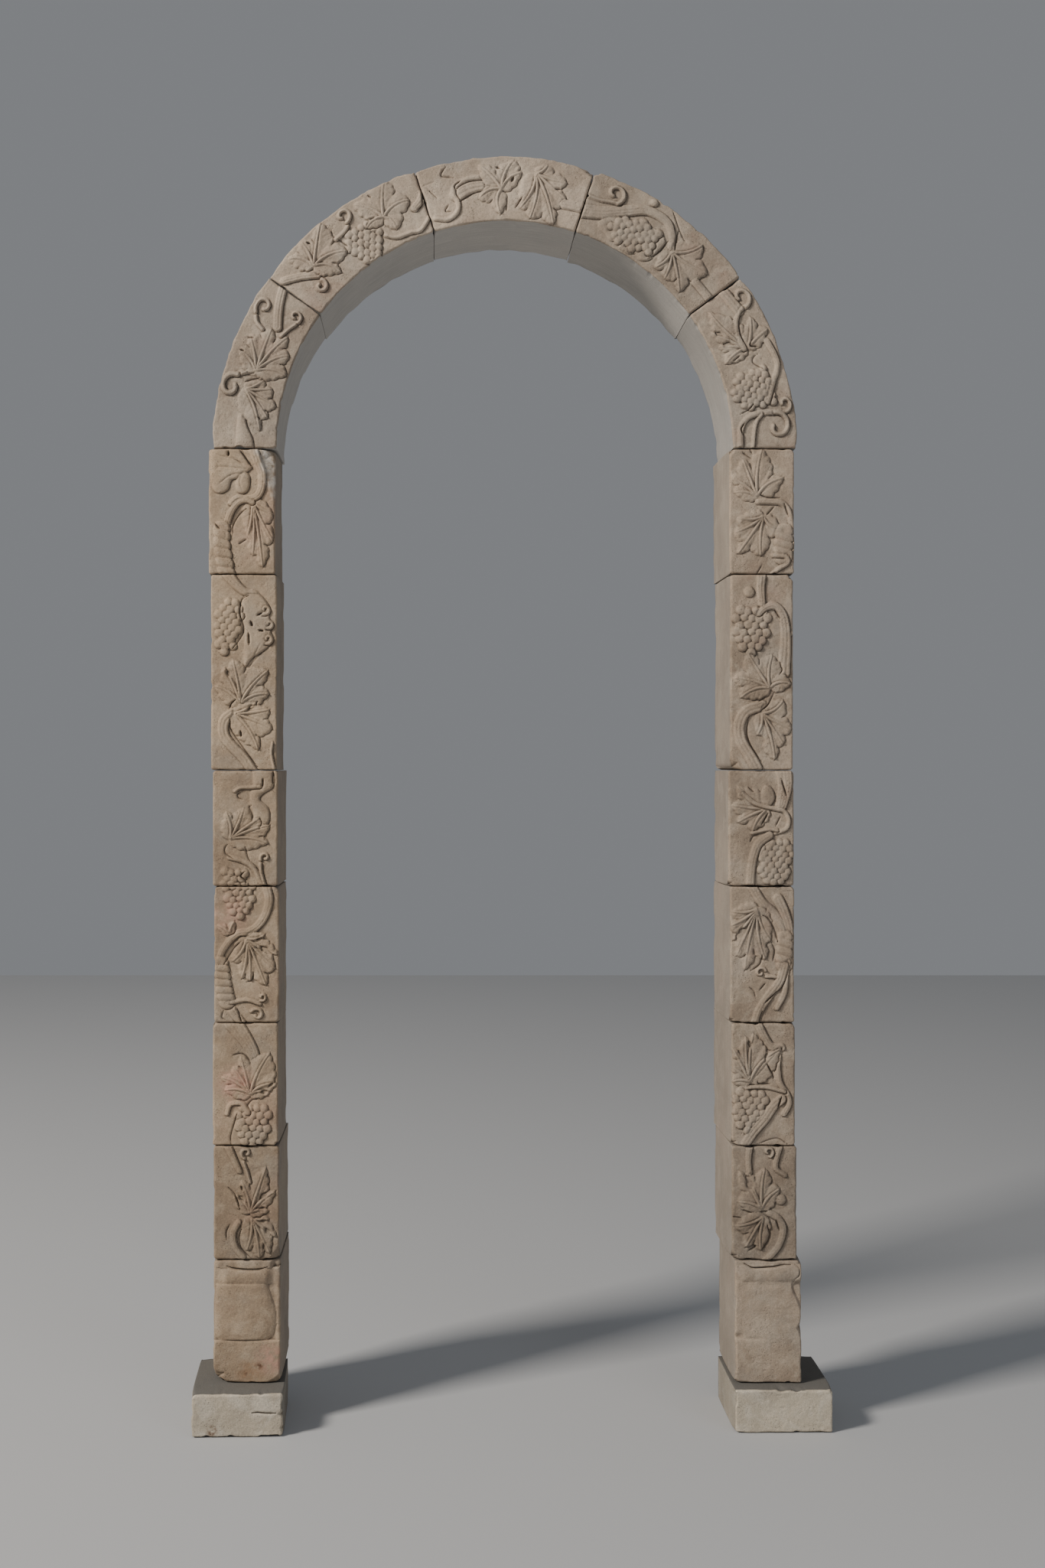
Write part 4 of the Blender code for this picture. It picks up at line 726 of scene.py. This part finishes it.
def weathered(r, seed):
    """Softens crests unevenly, rolls the ground a little and pits the surface."""
    u, v = r.u, r.v
    level = 0 * u
    wear = np.clip(2.2 * noise(u, v, level, 42, seed) - 0.75, 0.10, 1)
    soft_h = blurred(r.h, 3)
    r.h = r.h * (1 - 0.50 * wear) + soft_h * 0.50 * wear
    lost = np.clip(noise(u, v, level, 60, seed + 1) - 0.45, 0, 1)
    r.h -= 1.4 * lost * np.clip(r.h / 8, 0, 1)
    r.h += 1.3 * (noise(u, v, level, 34, seed + 2) - 0.5)
    r.h += 0.75 * (noise(u, v, level, 11, seed + 3) - 0.5)
    r.h += 0.45 * (noise(u, v, level, 4.6, seed + 4) - 0.5)
    pits = np.clip(noise(u, v, level, 5.5, seed + 5) - 0.80, 0, 1) * 5
    pits *= np.clip(noise(u, v, level, 30, seed + 6) * 2 - 0.7, 0, 1)
    r.h -= 1.1 * pits


def rim_of(rows, columns):
    """Grid numbers once round the edge, from the bottom left corner, and the way in at each."""
    grid = np.arange(rows * columns).reshape(rows, columns)
    parts = (grid[0, :-1], grid[:-1, -1], grid[-1, :0:-1], grid[:0:-1, 0])
    ways = ((0, 1), (-1, 0), (0, -1), (1, 0))
    rim = np.concatenate(parts)
    inward = np.repeat(np.array(ways, float), [len(part) for part in parts], axis=0)
    start = 0
    for part, way in zip(parts, ways):
        before = ways[ways.index(way) - 1]
        inward[start] = (np.array(way) + np.array(before)) / math.sqrt(2)
        start += len(part)
    return rim, inward


def rounded(u, v, width, height, radii, share_left=1.0):
    """Draws in the four corners of a face, from the bottom left one round, to a share of the radii."""
    u, v = u.copy(), v.copy()
    for full, (sign_u, sign_v) in zip(radii, ((0, 0), (1, 0), (1, 1), (0, 1))):
        radius = full * share_left
        along = (width - u if sign_u else u) - radius
        up = (height - v if sign_v else v) - radius
        square = np.maximum(-along, -up)
        round_ = np.hypot(along, up)
        inside = (along < 0) & (up < 0)
        share = np.where(inside & (round_ > 1e-6), square / np.maximum(round_, 1e-6), 1)
        along, up = radius + along * share, radius + up * share
        u = np.where(inside, width - along if sign_u else along, u)
        v = np.where(inside, height - up if sign_v else up, v)
    return u, v


def in_from_edge(u, v, y, seed, ragged):
    """How far the surface lies in from the squared block, with worn and chipped arrises."""
    bumps = 0.15 + 1.6 * noise(u, v, y, 38, seed + 20) + 0.9 * noise(u, v, y, 8, seed + 21)
    chips = np.clip(noise(u, v, y, 17, seed + 22) - 0.64, 0, 1) * 16
    near = np.exp(-np.maximum(y, 0) / 11.0)
    return ragged * (bumps * (0.03 + 0.97 * near) + chips * near)


def bumpy(u, width, seed):
    """Uneven hollows along the outer edge of an arch stone, deeper at its two ends."""
    ends = np.clip(np.abs(2 * u / width - 1) - 0.80, 0, 1) * 4
    waves = noise(u, 0 * u, 0 * u, 46, seed + 30) + 0.8 * noise(u, 0 * u, 0 * u, 17, seed + 31)
    return waves + 0.5 * noise(u, 0 * u, 0 * u, 8, seed + 32) + ends


def back_strips(seat, upright):
    """Faces across a flat back from the grid numbers of its rim, as strips over its short way."""
    across, way = (seat, 1) if upright else (seat.T, -1)
    strips = [np.r_[across[1, 0], across[1, -1], across[0, ::-1]],
              np.r_[across[-2, 0], across[-1], across[-2, -1]]]
    strips += [across[[j, j + 1, j + 1, j], [0, 0, -1, -1]] for j in range(1, len(across) - 2)]
    return [strip[::way] for strip in strips]


def closed_mesh(name, world, rows, columns, rim, rings, upright):
    """A mesh of the front's grid, the rings of points behind its rim, and a flat back."""
    grid = np.arange(rows * columns).reshape(rows, columns)
    quads = [np.stack([grid[:-1, :-1], grid[:-1, 1:], grid[1:, 1:], grid[1:, :-1]], axis=-1)]
    ring = rim
    for k in range(rings):
        deeper = rows * columns + k * len(rim) + np.arange(len(rim))
        quads.append(np.stack([np.roll(ring, -1), ring, deeper, np.roll(deeper, -1)], axis=1))
        ring = deeper
    quads = np.concatenate([part.reshape(-1, 4) for part in quads])
    seat = np.zeros(rows * columns, int)
    seat[rim] = ring
    strips = back_strips(seat.reshape(rows, columns), upright)
    corners = np.array([len(strip) for strip in strips])
    loops = np.concatenate([quads.ravel()] + strips)
    starts = np.append(np.arange(len(quads)) * 4, len(quads) * 4 + np.cumsum(corners) - corners)
    mesh = bpy.data.meshes.new(name)
    mesh.vertices.add(len(world))
    mesh.vertices.foreach_set("co", world.astype(np.float32).ravel())
    mesh.loops.add(len(loops))
    mesh.loops.foreach_set("vertex_index", loops.astype(np.int32))
    mesh.polygons.add(len(starts))
    mesh.polygons.foreach_set("loop_start", starts.astype(np.int32))
    mesh.update(calc_edges=True)
    mesh.polygons.foreach_set("use_smooth", np.arange(len(starts)) < len(quads))
    return mesh


def carved_front(shape, width, height, u, v, lee, seed, ragged):
    """The front's points after carving and weather, and how hollow each is, for dirt and painted shade.
    """
    r = Relief(width, height, u, v, lee)
    shape(r)
    hollow = np.clip(0.5 + (blurred(r.h, 14) - r.h) / 9.0, 0, 1)
    weathered(r, seed)
    gaps = (u, width - u, v, height - v)
    turn = 3.0 + 4.5 * noise(u, v, 0 * u, 24, seed + 9)
    fall = np.clip(1 - np.min(gaps, axis=0) / turn, 0, 1)
    r.h -= turn * 0.80 * (1 - np.sqrt(1 - fall ** 2))
    y = front - r.h
    slip = in_from_edge(u, v, y, seed, ragged)
    near = [slip * np.clip(1 - gap / 9.0, 0, 1) ** 2 for gap in gaps]
    return u + near[0] - near[1], v + near[2] - near[3], y, hollow


def stone(name, width, height, depth, shape, place, slot, seed, lee=down_right, ragged=1.0,
          marks=None, levels=(3, 8, 15, 26, 45, 80, 125), tone=0.0, radii=(7, 7, 7, 7), uneven=0.0,
          flank_share=1.0, side_tone=0.0, joint_way=1, seal=0.27, keeps_round=0.12):
    """One block as a dense closed mesh: carved front, sides that follow worn arrises, flat back.
    The seal moves the joint faces a little closer together behind the arrises."""
    width, height, depth = (n / stroke for n in (width, height, depth))
    columns = int(round(width / pitch)) + 1
    rows = int(round(height / pitch)) + 1
    flat = np.meshgrid(np.linspace(0, width, columns), np.linspace(0, height, rows))
    u, v, y, hollow = carved_front(shape, width, height, *flat, lee, seed, ragged)
    v = v - uneven * (v / height) ** 6 * bumpy(u, width, seed)
    u, v = rounded(u, v, width, height, radii)
    points = [np.stack([u.ravel(), v.ravel(), y.ravel()], axis=1)]
    hollow = [hollow.ravel()]
    beside = [np.zeros(rows * columns)]
    rim, inward = rim_of(rows, columns)
    flat_u, flat_v = (part.ravel()[rim] for part in flat)
    edge_y = y.ravel()[rim]
    in_joint = np.abs(inward[:, joint_way]) > 0.9
    # Painted light and shade on the sides: the full share on the top face, a given share on the others
    side_share = np.where(inward[:, 1] < -0.5, 1.0, flank_share)
    reach = depth - front
    stops = [level for level in levels if level < reach - 24] + [reach - 14, reach - 4]
    stops = [edge_y + level for level in stops]
    for here in stops + [np.full(len(rim), depth)]:
        here = np.minimum(here, depth)
        inset = in_from_edge(flat_u, flat_v, here - front, seed, ragged)
        if marks is not None:
            inset = inset + marks(flat_u, flat_v, here, seed)
        back = 0.5 + 5.0 * np.clip(noise(flat_u, flat_v, here, 30, seed + 23) - 0.35, 0, 1)
        inset = inset + back * np.exp(-np.maximum(depth - here, 0) / 12.0)
        inset = inset - seal * in_joint * ease(here - front, 8, 22)
        side_u = flat_u + inward[:, 0] * inset
        side_v = flat_v + inward[:, 1] * inset
        side_v = side_v - uneven * (side_v / height) ** 6 * bumpy(side_u, width, seed)
        fade = np.exp(-np.maximum(here - front, 0) / 28.0)
        share_left = keeps_round + (1 - keeps_round) * fade
        side_u, side_v = rounded(side_u, side_v, width, height, radii, share_left)
        points.append(np.stack([side_u, side_v, here], axis=1))
        hollow.append(np.where(in_joint & (seal > 0), 0.76, 0.5))
        beside.append(side_share)
    hollow[-1] = np.full(len(rim), 0.5)
    points = np.concatenate(points)
    world = place(points[:, 0] / width, points[:, 1] / height, points[:, 2] * stroke)
    mesh = closed_mesh(name, world, rows, columns, rim, len(stops) + 1, height > width)
    # The sides take a brightness of their own: painted light and shade
    tones = np.where(np.arange(len(world)) < rows * columns, tone, side_tone)
    looks = {"hollow_dirt_and_shade": np.concatenate(hollow), "beside": np.concatenate(beside), "tone": tones}
    for look, values in looks.items():
        held = mesh.attributes.new(look, "FLOAT", "POINT").data
        held.foreach_set("value", values.astype(np.float32))
    mesh.validate()
    made = bpy.data.objects.new(name + "_stone", mesh)
    bpy.context.scene.collection.objects.link(made)
    made.data.materials.append(materials[slot])
    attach(made, "root")
    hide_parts(name)


def streaks(flat_u, flat_v, here, seed):
    """Upright dressing marks on the sides of a jamb stone."""
    return 0.7 * noise(flat_u / 6, flat_v / 30, here, 3.2, seed + 40)


def saw_lines(flat_u, flat_v, here, seed):
    """Fine marks along the sides of an arch stone."""
    return 0.6 * noise(flat_u / 30, flat_v / 6, here, 2.6, seed + 41)


def jamb_stone(name, depth, shape, slot, seed, **more):
    low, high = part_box(name)

    def place(share_u, share_v, y):
        x = low.x + share_u * (high.x - low.x)
        return np.stack([x, front_y + y, low.z + share_v * (high.z - low.z)], axis=1)

    stone(name, high.x - low.x, high.z - low.z, depth, shape, place, slot, seed, marks=streaks,
          **more)


def voussoir(number, depth, shape, seed, **more):
    gap = joint / ring_inner / 2
    start = math.pi - number * voussoir_angle - gap
    sweep = voussoir_angle - 2 * gap

    def place(share_u, share_v, y):
        angle = start - share_u * sweep
        radius = ring_inner + share_v * ring_face
        x = axis_x + radius * np.cos(angle)
        return np.stack([x, front_y + y, springing_height + radius * np.sin(angle)], axis=1)

    centre = math.pi - (number + 0.5) * voussoir_angle
    along = (math.sin(centre), -math.cos(centre))
    out = (math.cos(centre), math.sin(centre))
    lee = (np.dot(down_right, along), np.dot(down_right, out))
    width = (ring_inner + ring_face / 2) * sweep
    stone(f"voussoir_{number + 1}", width, ring_face, depth, shape, place, "arch_stone", seed,
          lee=lee, marks=saw_lines, uneven=2.8, ragged=1.3, joint_way=0, **more)


def plinth_front_left(r):
    """A plain face with a slit near its right end and a broken right edge."""
    r.h = np.full(r.u.shape, front)
    r.cuts(4.5, [(66, 56), (72, 56.5), (80, 54.5), (92, 54)], depth=0)
    r.chip((100, 52), (14, 12), 10)
    r.chip((100, 20), (10, 12), 8)


def plinth_front_right(r):
    r.h = np.full(r.u.shape, front)
    r.chip((100, 100), (14, 14), 8)


def plinth(name, shape, turn, seed, **more):
    """A plinth block turned by some degrees, whose own sides follow from the box round it."""
    low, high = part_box(name)
    centre = ((low.x + high.x) / 2, (low.y + high.y) / 2)
    spread_x, spread_y = high.x - low.x, high.y - low.y
    c, s = math.cos(math.radians(turn)), math.sin(math.radians(turn))
    width = (spread_x * c - spread_y * s) / (c * c - s * s)
    kept_clear = 0.0008
    depth = (spread_y * c - spread_x * s) / (c * c - s * s) - kept_clear

    def place(share_u, share_v, y):
        px = (share_u - 0.5) * width
        py = y - depth / 2
        x = centre[0] + px * c - py * s
        return np.stack([x, centre[1] + px * s + py * c, share_v * high.z], axis=1)

    stone(name, width, high.z, depth, shape, place, "plinth_stone", seed,
          levels=tuple(range(4, 190, 9)), seal=0.0, **more)


class Nodes:
    """Short hands for building a material from nodes."""

    def __init__(self, name):
        self.material = bpy.data.materials.new(name)
        self.material.use_nodes = True
        self.tree = self.material.node_tree
        self.shader = self.tree.nodes["Principled BSDF"]
        self.where = self.tree.nodes.new("ShaderNodeTexCoord").outputs["Object"]

    def put(self, socket, value):
        """Links another node's result to the socket, or sets a plain value on it."""
        if hasattr(value, "is_output"):
            self.tree.links.new(value, socket)
        else:
            socket.default_value = value

    def add(self, kind, result, inputs, **settings):
        """Adds a node with its settings and inputs, and gives the named result."""
        made = self.tree.nodes.new("ShaderNode" + kind)
        for key, value in settings.items():
            setattr(made, key, value)
        for key, value in inputs.items():
            self.put(made.inputs[key], value)
        return made.outputs[result]

    def noise(self, scale, detail=4.0, rough=0.55, stretch=(1, 1, 1), shift=(0, 0, 0), distort=0.0):
        place = {"Vector": self.where, "Scale": stretch, "Location": shift}
        inputs = {"Vector": self.add("Mapping", "Vector", place), "Scale": scale, "Detail": detail}
        return self.add("TexNoise", "Fac", {**inputs, "Roughness": rough, "Distortion": distort})

    def ramp(self, value, low, high, start=0.0, end=1.0):
        inputs = {"Value": value, "From Min": low, "From Max": high, "To Min": start, "To Max": end}
        return self.add("MapRange", "Result", inputs, interpolation_type="SMOOTHSTEP")

    def math(self, kind, a, b):
        return self.add("Math", 0, {0: a, 1: b}, operation=kind)

    def times(self, a, b):
        return self.math("MULTIPLY", a, b)

    def mix(self, amount, a, b, kind="MIX"):
        a, b = (n if hasattr(n, "is_output") else (*n, 1.0) for n in (a, b))
        inputs = {"Factor": amount, "A": a, "B": b}
        return self.add("Mix", "Result", inputs, data_type="RGBA", blend_type=kind)

    def layer(self, under, mask, share, tint):
        """Lays a share of a tint over a colour where the mask is."""
        return self.mix(self.times(mask, share), under, tint)

    def shaded(self, colour, factor):
        return self.mix(1.0, colour, factor, "MULTIPLY")

    def attribute(self, name):
        return self.add("Attribute", "Fac", {}, attribute_name=name)

    def spot(self, at, reach):
        gap = self.add("VectorMath", "Value", {0: self.where, 1: at}, operation="DISTANCE")
        return self.ramp(gap, reach, reach * 0.25)


grey = (0.265, 0.245, 0.215)
pink = (0.37, 0.225, 0.17)
fleck = (0.50, 0.44, 0.36)
dirt_and_shade = (0.085, 0.064, 0.047)
rust = (0.085, 0.036, 0.018)
tan = (0.30, 0.165, 0.085)
rose = (0.46, 0.265, 0.20)
chalk = (0.62, 0.56, 0.48)


def limestone(name, base, pale, dark, shift, stains=(), side_light_tint=(0.34, 0.31, 0.27),
              flank_share=0.48, dressed=0.3):
    """Weathered limestone: patches, dirt and painted shade in hollows, pale crests, pits, dressed sides.
    """
    n = Nodes(name)
    colour = n.mix(n.ramp(n.noise(5.5, 5, 0.6, shift=shift), 0.36, 0.66), dark, base)
    patches = n.ramp(n.noise(19, 6, 0.62, shift=shift, distort=0.6), 0.44, 0.68)
    colour = n.layer(colour, patches, 0.50, pale)
    patches = n.ramp(n.noise(9, 5, 0.6, shift=(3.1, shift[0], 1.7)), 0.50, 0.72)
    colour = n.layer(colour, patches, 0.32, grey)
    patches = n.ramp(n.noise(7, 4, 0.6, shift=(shift[0], 5.3, 2.2)), 0.55, 0.75)
    colour = n.layer(colour, patches, 0.30, pink)
    colour = n.shaded(colour, n.ramp(n.noise(330, 4, 0.8), 0.35, 0.68, 0.84, 1.14))
    flecks = n.ramp(n.noise(95, 4, 0.75, shift=shift), 0.62, 0.72)
    colour = n.layer(colour, flecks, 0.35, fleck)
    cells = n.add("TexVoronoi", "Distance", {"Vector": n.where, "Scale": 210})
    closed = n.math("SUBTRACT", 1.0, n.ramp(cells, 0.10, 0.34))
    pitted = n.ramp(n.noise(24, 4, 0.6, shift=shift), 0.46, 0.62)
    pits = n.math("SUBTRACT", 1.0, n.times(closed, pitted))
    colour = n.shaded(colour, n.ramp(pits, 0.0, 1.0, 0.62, 1.0))
    hollow_dirt_and_shade = n.attribute("hollow_dirt_and_shade")
    # Painted shade: the hollows are darkened, partly as dirt lodged there, partly as shade falling into
    # them
    colour = n.layer(colour, n.ramp(hollow_dirt_and_shade, 0.54, 0.88), 0.84, dirt_and_shade)
    colour = n.layer(colour, n.ramp(hollow_dirt_and_shade, 0.42, 0.10), 0.30, pale)
    cloud = n.ramp(n.noise(60, 5, 0.7), 0.32, 0.62)
    for at, reach, tint, strength in stains:
        colour = n.layer(colour, n.times(n.spot(at, reach), cloud), strength, tint)
    beside = n.attribute("beside")
    lines = n.noise(1.0, 3, 0.65, stretch=(9, 420, 9))
    # Painted light and shade: the side faces take a tint of their own, darker or lighter as light falls
    # there
    colour = n.layer(colour, beside, flank_share, side_light_tint)
    marks = n.ramp(lines, 0.34, 0.66, 1 - 0.25 * dressed, 1 + 0.2 * dressed)
    colour = n.mix(beside, colour, n.shaded(colour, marks))
    # Each point's tone: the stone's own on the fronts, painted light and shade on the sides
    colour = n.shaded(colour, n.math("ADD", n.attribute("tone"), 1.0))
    coarse = n.noise(110, 6, 0.72, shift=shift)
    height = n.math("ADD", n.times(n.noise(420, 3, 0.7), 0.50), n.times(coarse, 0.7))
    height = n.math("ADD", height, n.times(pits, 0.55))
    height = n.math("ADD", height, n.times(lines, n.times(beside, dressed)))
    bump = n.add("Bump", "Normal", {"Strength": 0.55, "Distance": 0.0022, "Height": height})
    n.put(n.shader.inputs["Base Color"], colour)
    n.put(n.shader.inputs["Normal"], bump)
    n.put(n.shader.inputs["Roughness"], n.ramp(coarse, 0.3, 0.7, 0.82, 0.98))
    n.put(n.shader.inputs["Specular IOR Level"], 0.25)
    return n.material


# Where the photo was taken from, and the pixel of its 1366 by 2049 straight ahead
eye_left, eye_back, eye_height = 0.170, 3.70, 1.460
ahead_x, ahead_y = 560, 1005
pixel_size = 0.0017
mean_relief = 0.004


def seen(px, py, nearer=0.0):
    """The point that the photo shows at that pixel, so much nearer than the fronts."""
    step = pixel_size * (eye_back - nearer) / eye_back
    x = axis_x - eye_left + (px - ahead_x) * step
    return x, front_y + mean_relief - nearer, eye_height + (ahead_y - py) * step


plinth_ahead = 0.068
plinth_stains = [(seen(277, 1871, plinth_ahead), 0.018, rust, 1.0)]
left_stains = [(seen(354, 1776), 0.048, rose, 0.75), (seen(326, 1794), 0.044, tan, 0.5),
               (seen(339, 1784), 0.013, rust, 0.95), (seen(322, 1796), 0.007, rust, 0.9),
               (seen(346, 588), 0.030, chalk, 1.3), (seen(352, 606), 0.028, chalk, 1.3),
               (seen(357, 628), 0.024, chalk, 1.2), (seen(361, 646), 0.018, chalk, 1.0),
               (seen(308, 1418), 0.060, rose, 0.75), (seen(300, 1195), 0.060, rose, 0.45)]
materials = {
    "plinth_stone": limestone(
        # Plinths: their tops and sides are tinted dark grey, painted shade
        "plinth_stone_look", (0.425, 0.372, 0.288), (0.53, 0.49, 0.41), (0.34, 0.295, 0.23),
        (0.3, 1.1, 0.0), plinth_stains, (0.112, 0.110, 0.104), 0.9, 0.0),
    "left_jamb_stone": limestone(
        "left_jamb_look", (0.38, 0.288, 0.197), (0.48, 0.385, 0.28), (0.27, 0.198, 0.135),
        (1.7, 0.2, 0.6), left_stains),
    "right_jamb_stone": limestone(
        "right_jamb_look", (0.355, 0.28, 0.21), (0.46, 0.385, 0.30), (0.24, 0.185, 0.135),
        (2.9, 2.2, 1.3)),
    # Arch stones: their soffits and sides are tinted pale grey, painted light
    "arch_stone": limestone(
        "arch_look", (0.40, 0.325, 0.25), (0.50, 0.425, 0.335), (0.29, 0.23, 0.175),
        (4.4, 3.1, 2.6), side_light_tint=(0.46, 0.45, 0.425), flank_share=0.75, dressed=0.4),
}

left = (shape_base_left, carve_jamb_left_1, carve_jamb_left_2, carve_jamb_left_3, carve_jamb_left_4,
        carve_jamb_left_5, carve_jamb_left_6)
right = (shape_base_right, carve_jamb_right_1, carve_jamb_right_2, carve_jamb_right_3, carve_jamb_right_4,
         carve_jamb_right_5, carve_jamb_right_6)
# Each stone front's own tone; the right jamb's fronts are also made lighter, painted light where the lamp
# on the left reaches less
left_tones = (0.05, -0.10, 0.03, 0.04, 0.02, 0.07, 0.05)
right_tones_with_painted_light = (0.13, -0.16, 0.04, 0.12, 0.08, 0.18, 0.14)
arch_tones = (0.0, 0.13, 0.27, -0.05, 0.05)
# The corners' radii in millimetres, from the bottom left one round
left_radii = ((38, 12, 6, 8), (8, 9, 8, 8), (6, 12, 7, 8), (8, 10, 16, 8), (6, 9, 8, 8), (6, 7, 8, 6),
              (6, 6, 26, 8))
right_radii = ((9, 6, 12, 6), (18, 6, 8, 8), (16, 8, 14, 8), (12, 6, 10, 6), (14, 6, 10, 6),
               (28, 7, 16, 6), (8, 6, 12, 14))
arch_radii = ((9, 6, 7, 9), (6, 7, 12, 10), (6, 6, 16, 12), (7, 7, 12, 14), (8, 5, 10, 12))
arch = (carve_voussoir_1, carve_voussoir_2, carve_voussoir_3, carve_voussoir_4, carve_voussoir_5)
# Painted light and shade on each arch stone's soffit and sides, darkest on the last one
arch_side_tones = (0.04, 0.06, 0.12, -0.04, -0.26)
jambs = {"left": (left, left_depths, left_tones, left_radii, 100),
         "right": (right, right_depths, right_tones_with_painted_light, right_radii, 200)}
for number in range(courses):
    for side, (shapes, depths, tones, radii, seed) in jambs.items():
        name = f"jamb_{side}_{number}" if number else f"base_{side}"
        # The jamb stones' sides are made a tenth darker: painted shade
        jamb_stone(name, depths[number], shapes[number], f"{side}_jamb_stone", seed + number,
                   tone=tones[number], side_tone=-0.10, radii=radii[number],
                   keeps_round=0.6 if name == "jamb_right_5" else 0.12)
for number, shape in enumerate(arch):
    voussoir(number, voussoir_depths[number], shape, 300 + number, tone=arch_tones[number],
             side_tone=arch_side_tones[number], radii=arch_radii[number])
plinth("plinth_left", plinth_front_left, 2.0, 401, ragged=1.8, tone=0.26, radii=(5, 8, 8, 12),
       flank_share=0.6)
plinth("plinth_right", plinth_front_right, 0.0, 402, ragged=1.5, tone=0.26, radii=(8, 5, 9, 5),
       flank_share=0.35)

camera_data = bpy.data.cameras.new("camera")
camera = bpy.data.objects.new("camera", camera_data)
bpy.context.scene.collection.objects.link(camera)
camera.location = (axis_x - eye_left, front_y - eye_back, eye_height)
camera.rotation_euler = (math.pi / 2, 0, 0)
camera_data.lens = 38.23
camera_data.sensor_width = 36
camera_data.shift_x = 0.060
camera_data.shift_y = -0.0095
bpy.context.scene.camera = camera

floor_mesh = bpy.data.meshes.new("floor")
floor_mesh.from_pydata([(-8, -8, 0), (8, -8, 0), (8, 8, 0), (-8, 8, 0)], [], [(0, 1, 2, 3)])
floor = bpy.data.objects.new("floor", floor_mesh)
bpy.context.scene.collection.objects.link(floor)
floor_look = Nodes("floor_look")
floor_look.put(floor_look.shader.inputs["Base Color"], (0.46, 0.47, 0.48, 1))
floor_look.put(floor_look.shader.inputs["Roughness"], 0.85)
floor_mesh.materials.append(floor_look.material)

world = bpy.data.worlds.new("world")
world.use_nodes = True
background = world.node_tree.nodes["Background"]
background.inputs["Color"].default_value = (0.84, 0.87, 0.92, 1)
background.inputs["Strength"].default_value = 0.25
bpy.context.scene.world = world


def lamp(name, place, aim, size, power, colour):
    data = bpy.data.lights.new(name, "AREA")
    data.shape = "RECTANGLE"
    data.size, data.size_y = size
    data.energy = power
    data.color = colour
    made = bpy.data.objects.new(name, data)
    bpy.context.scene.collection.objects.link(made)
    made.location = place
    way = np.array(aim) - np.array(place)
    flat = math.hypot(way[0], way[1])
    made.rotation_euler = (math.atan2(flat, -way[2]), 0, math.atan2(way[1], way[0]) - math.pi / 2)


lamp("key", (-7.0, -4.0, 6.6), (0, 0, 1.4), (1.7, 1.7), 1120, (1.0, 0.93, 0.85))
lamp("fill", (3.5, -4.5, 2.0), (0, 0, 1.3), (3.0, 3.0), 44, (0.88, 0.93, 1.0))
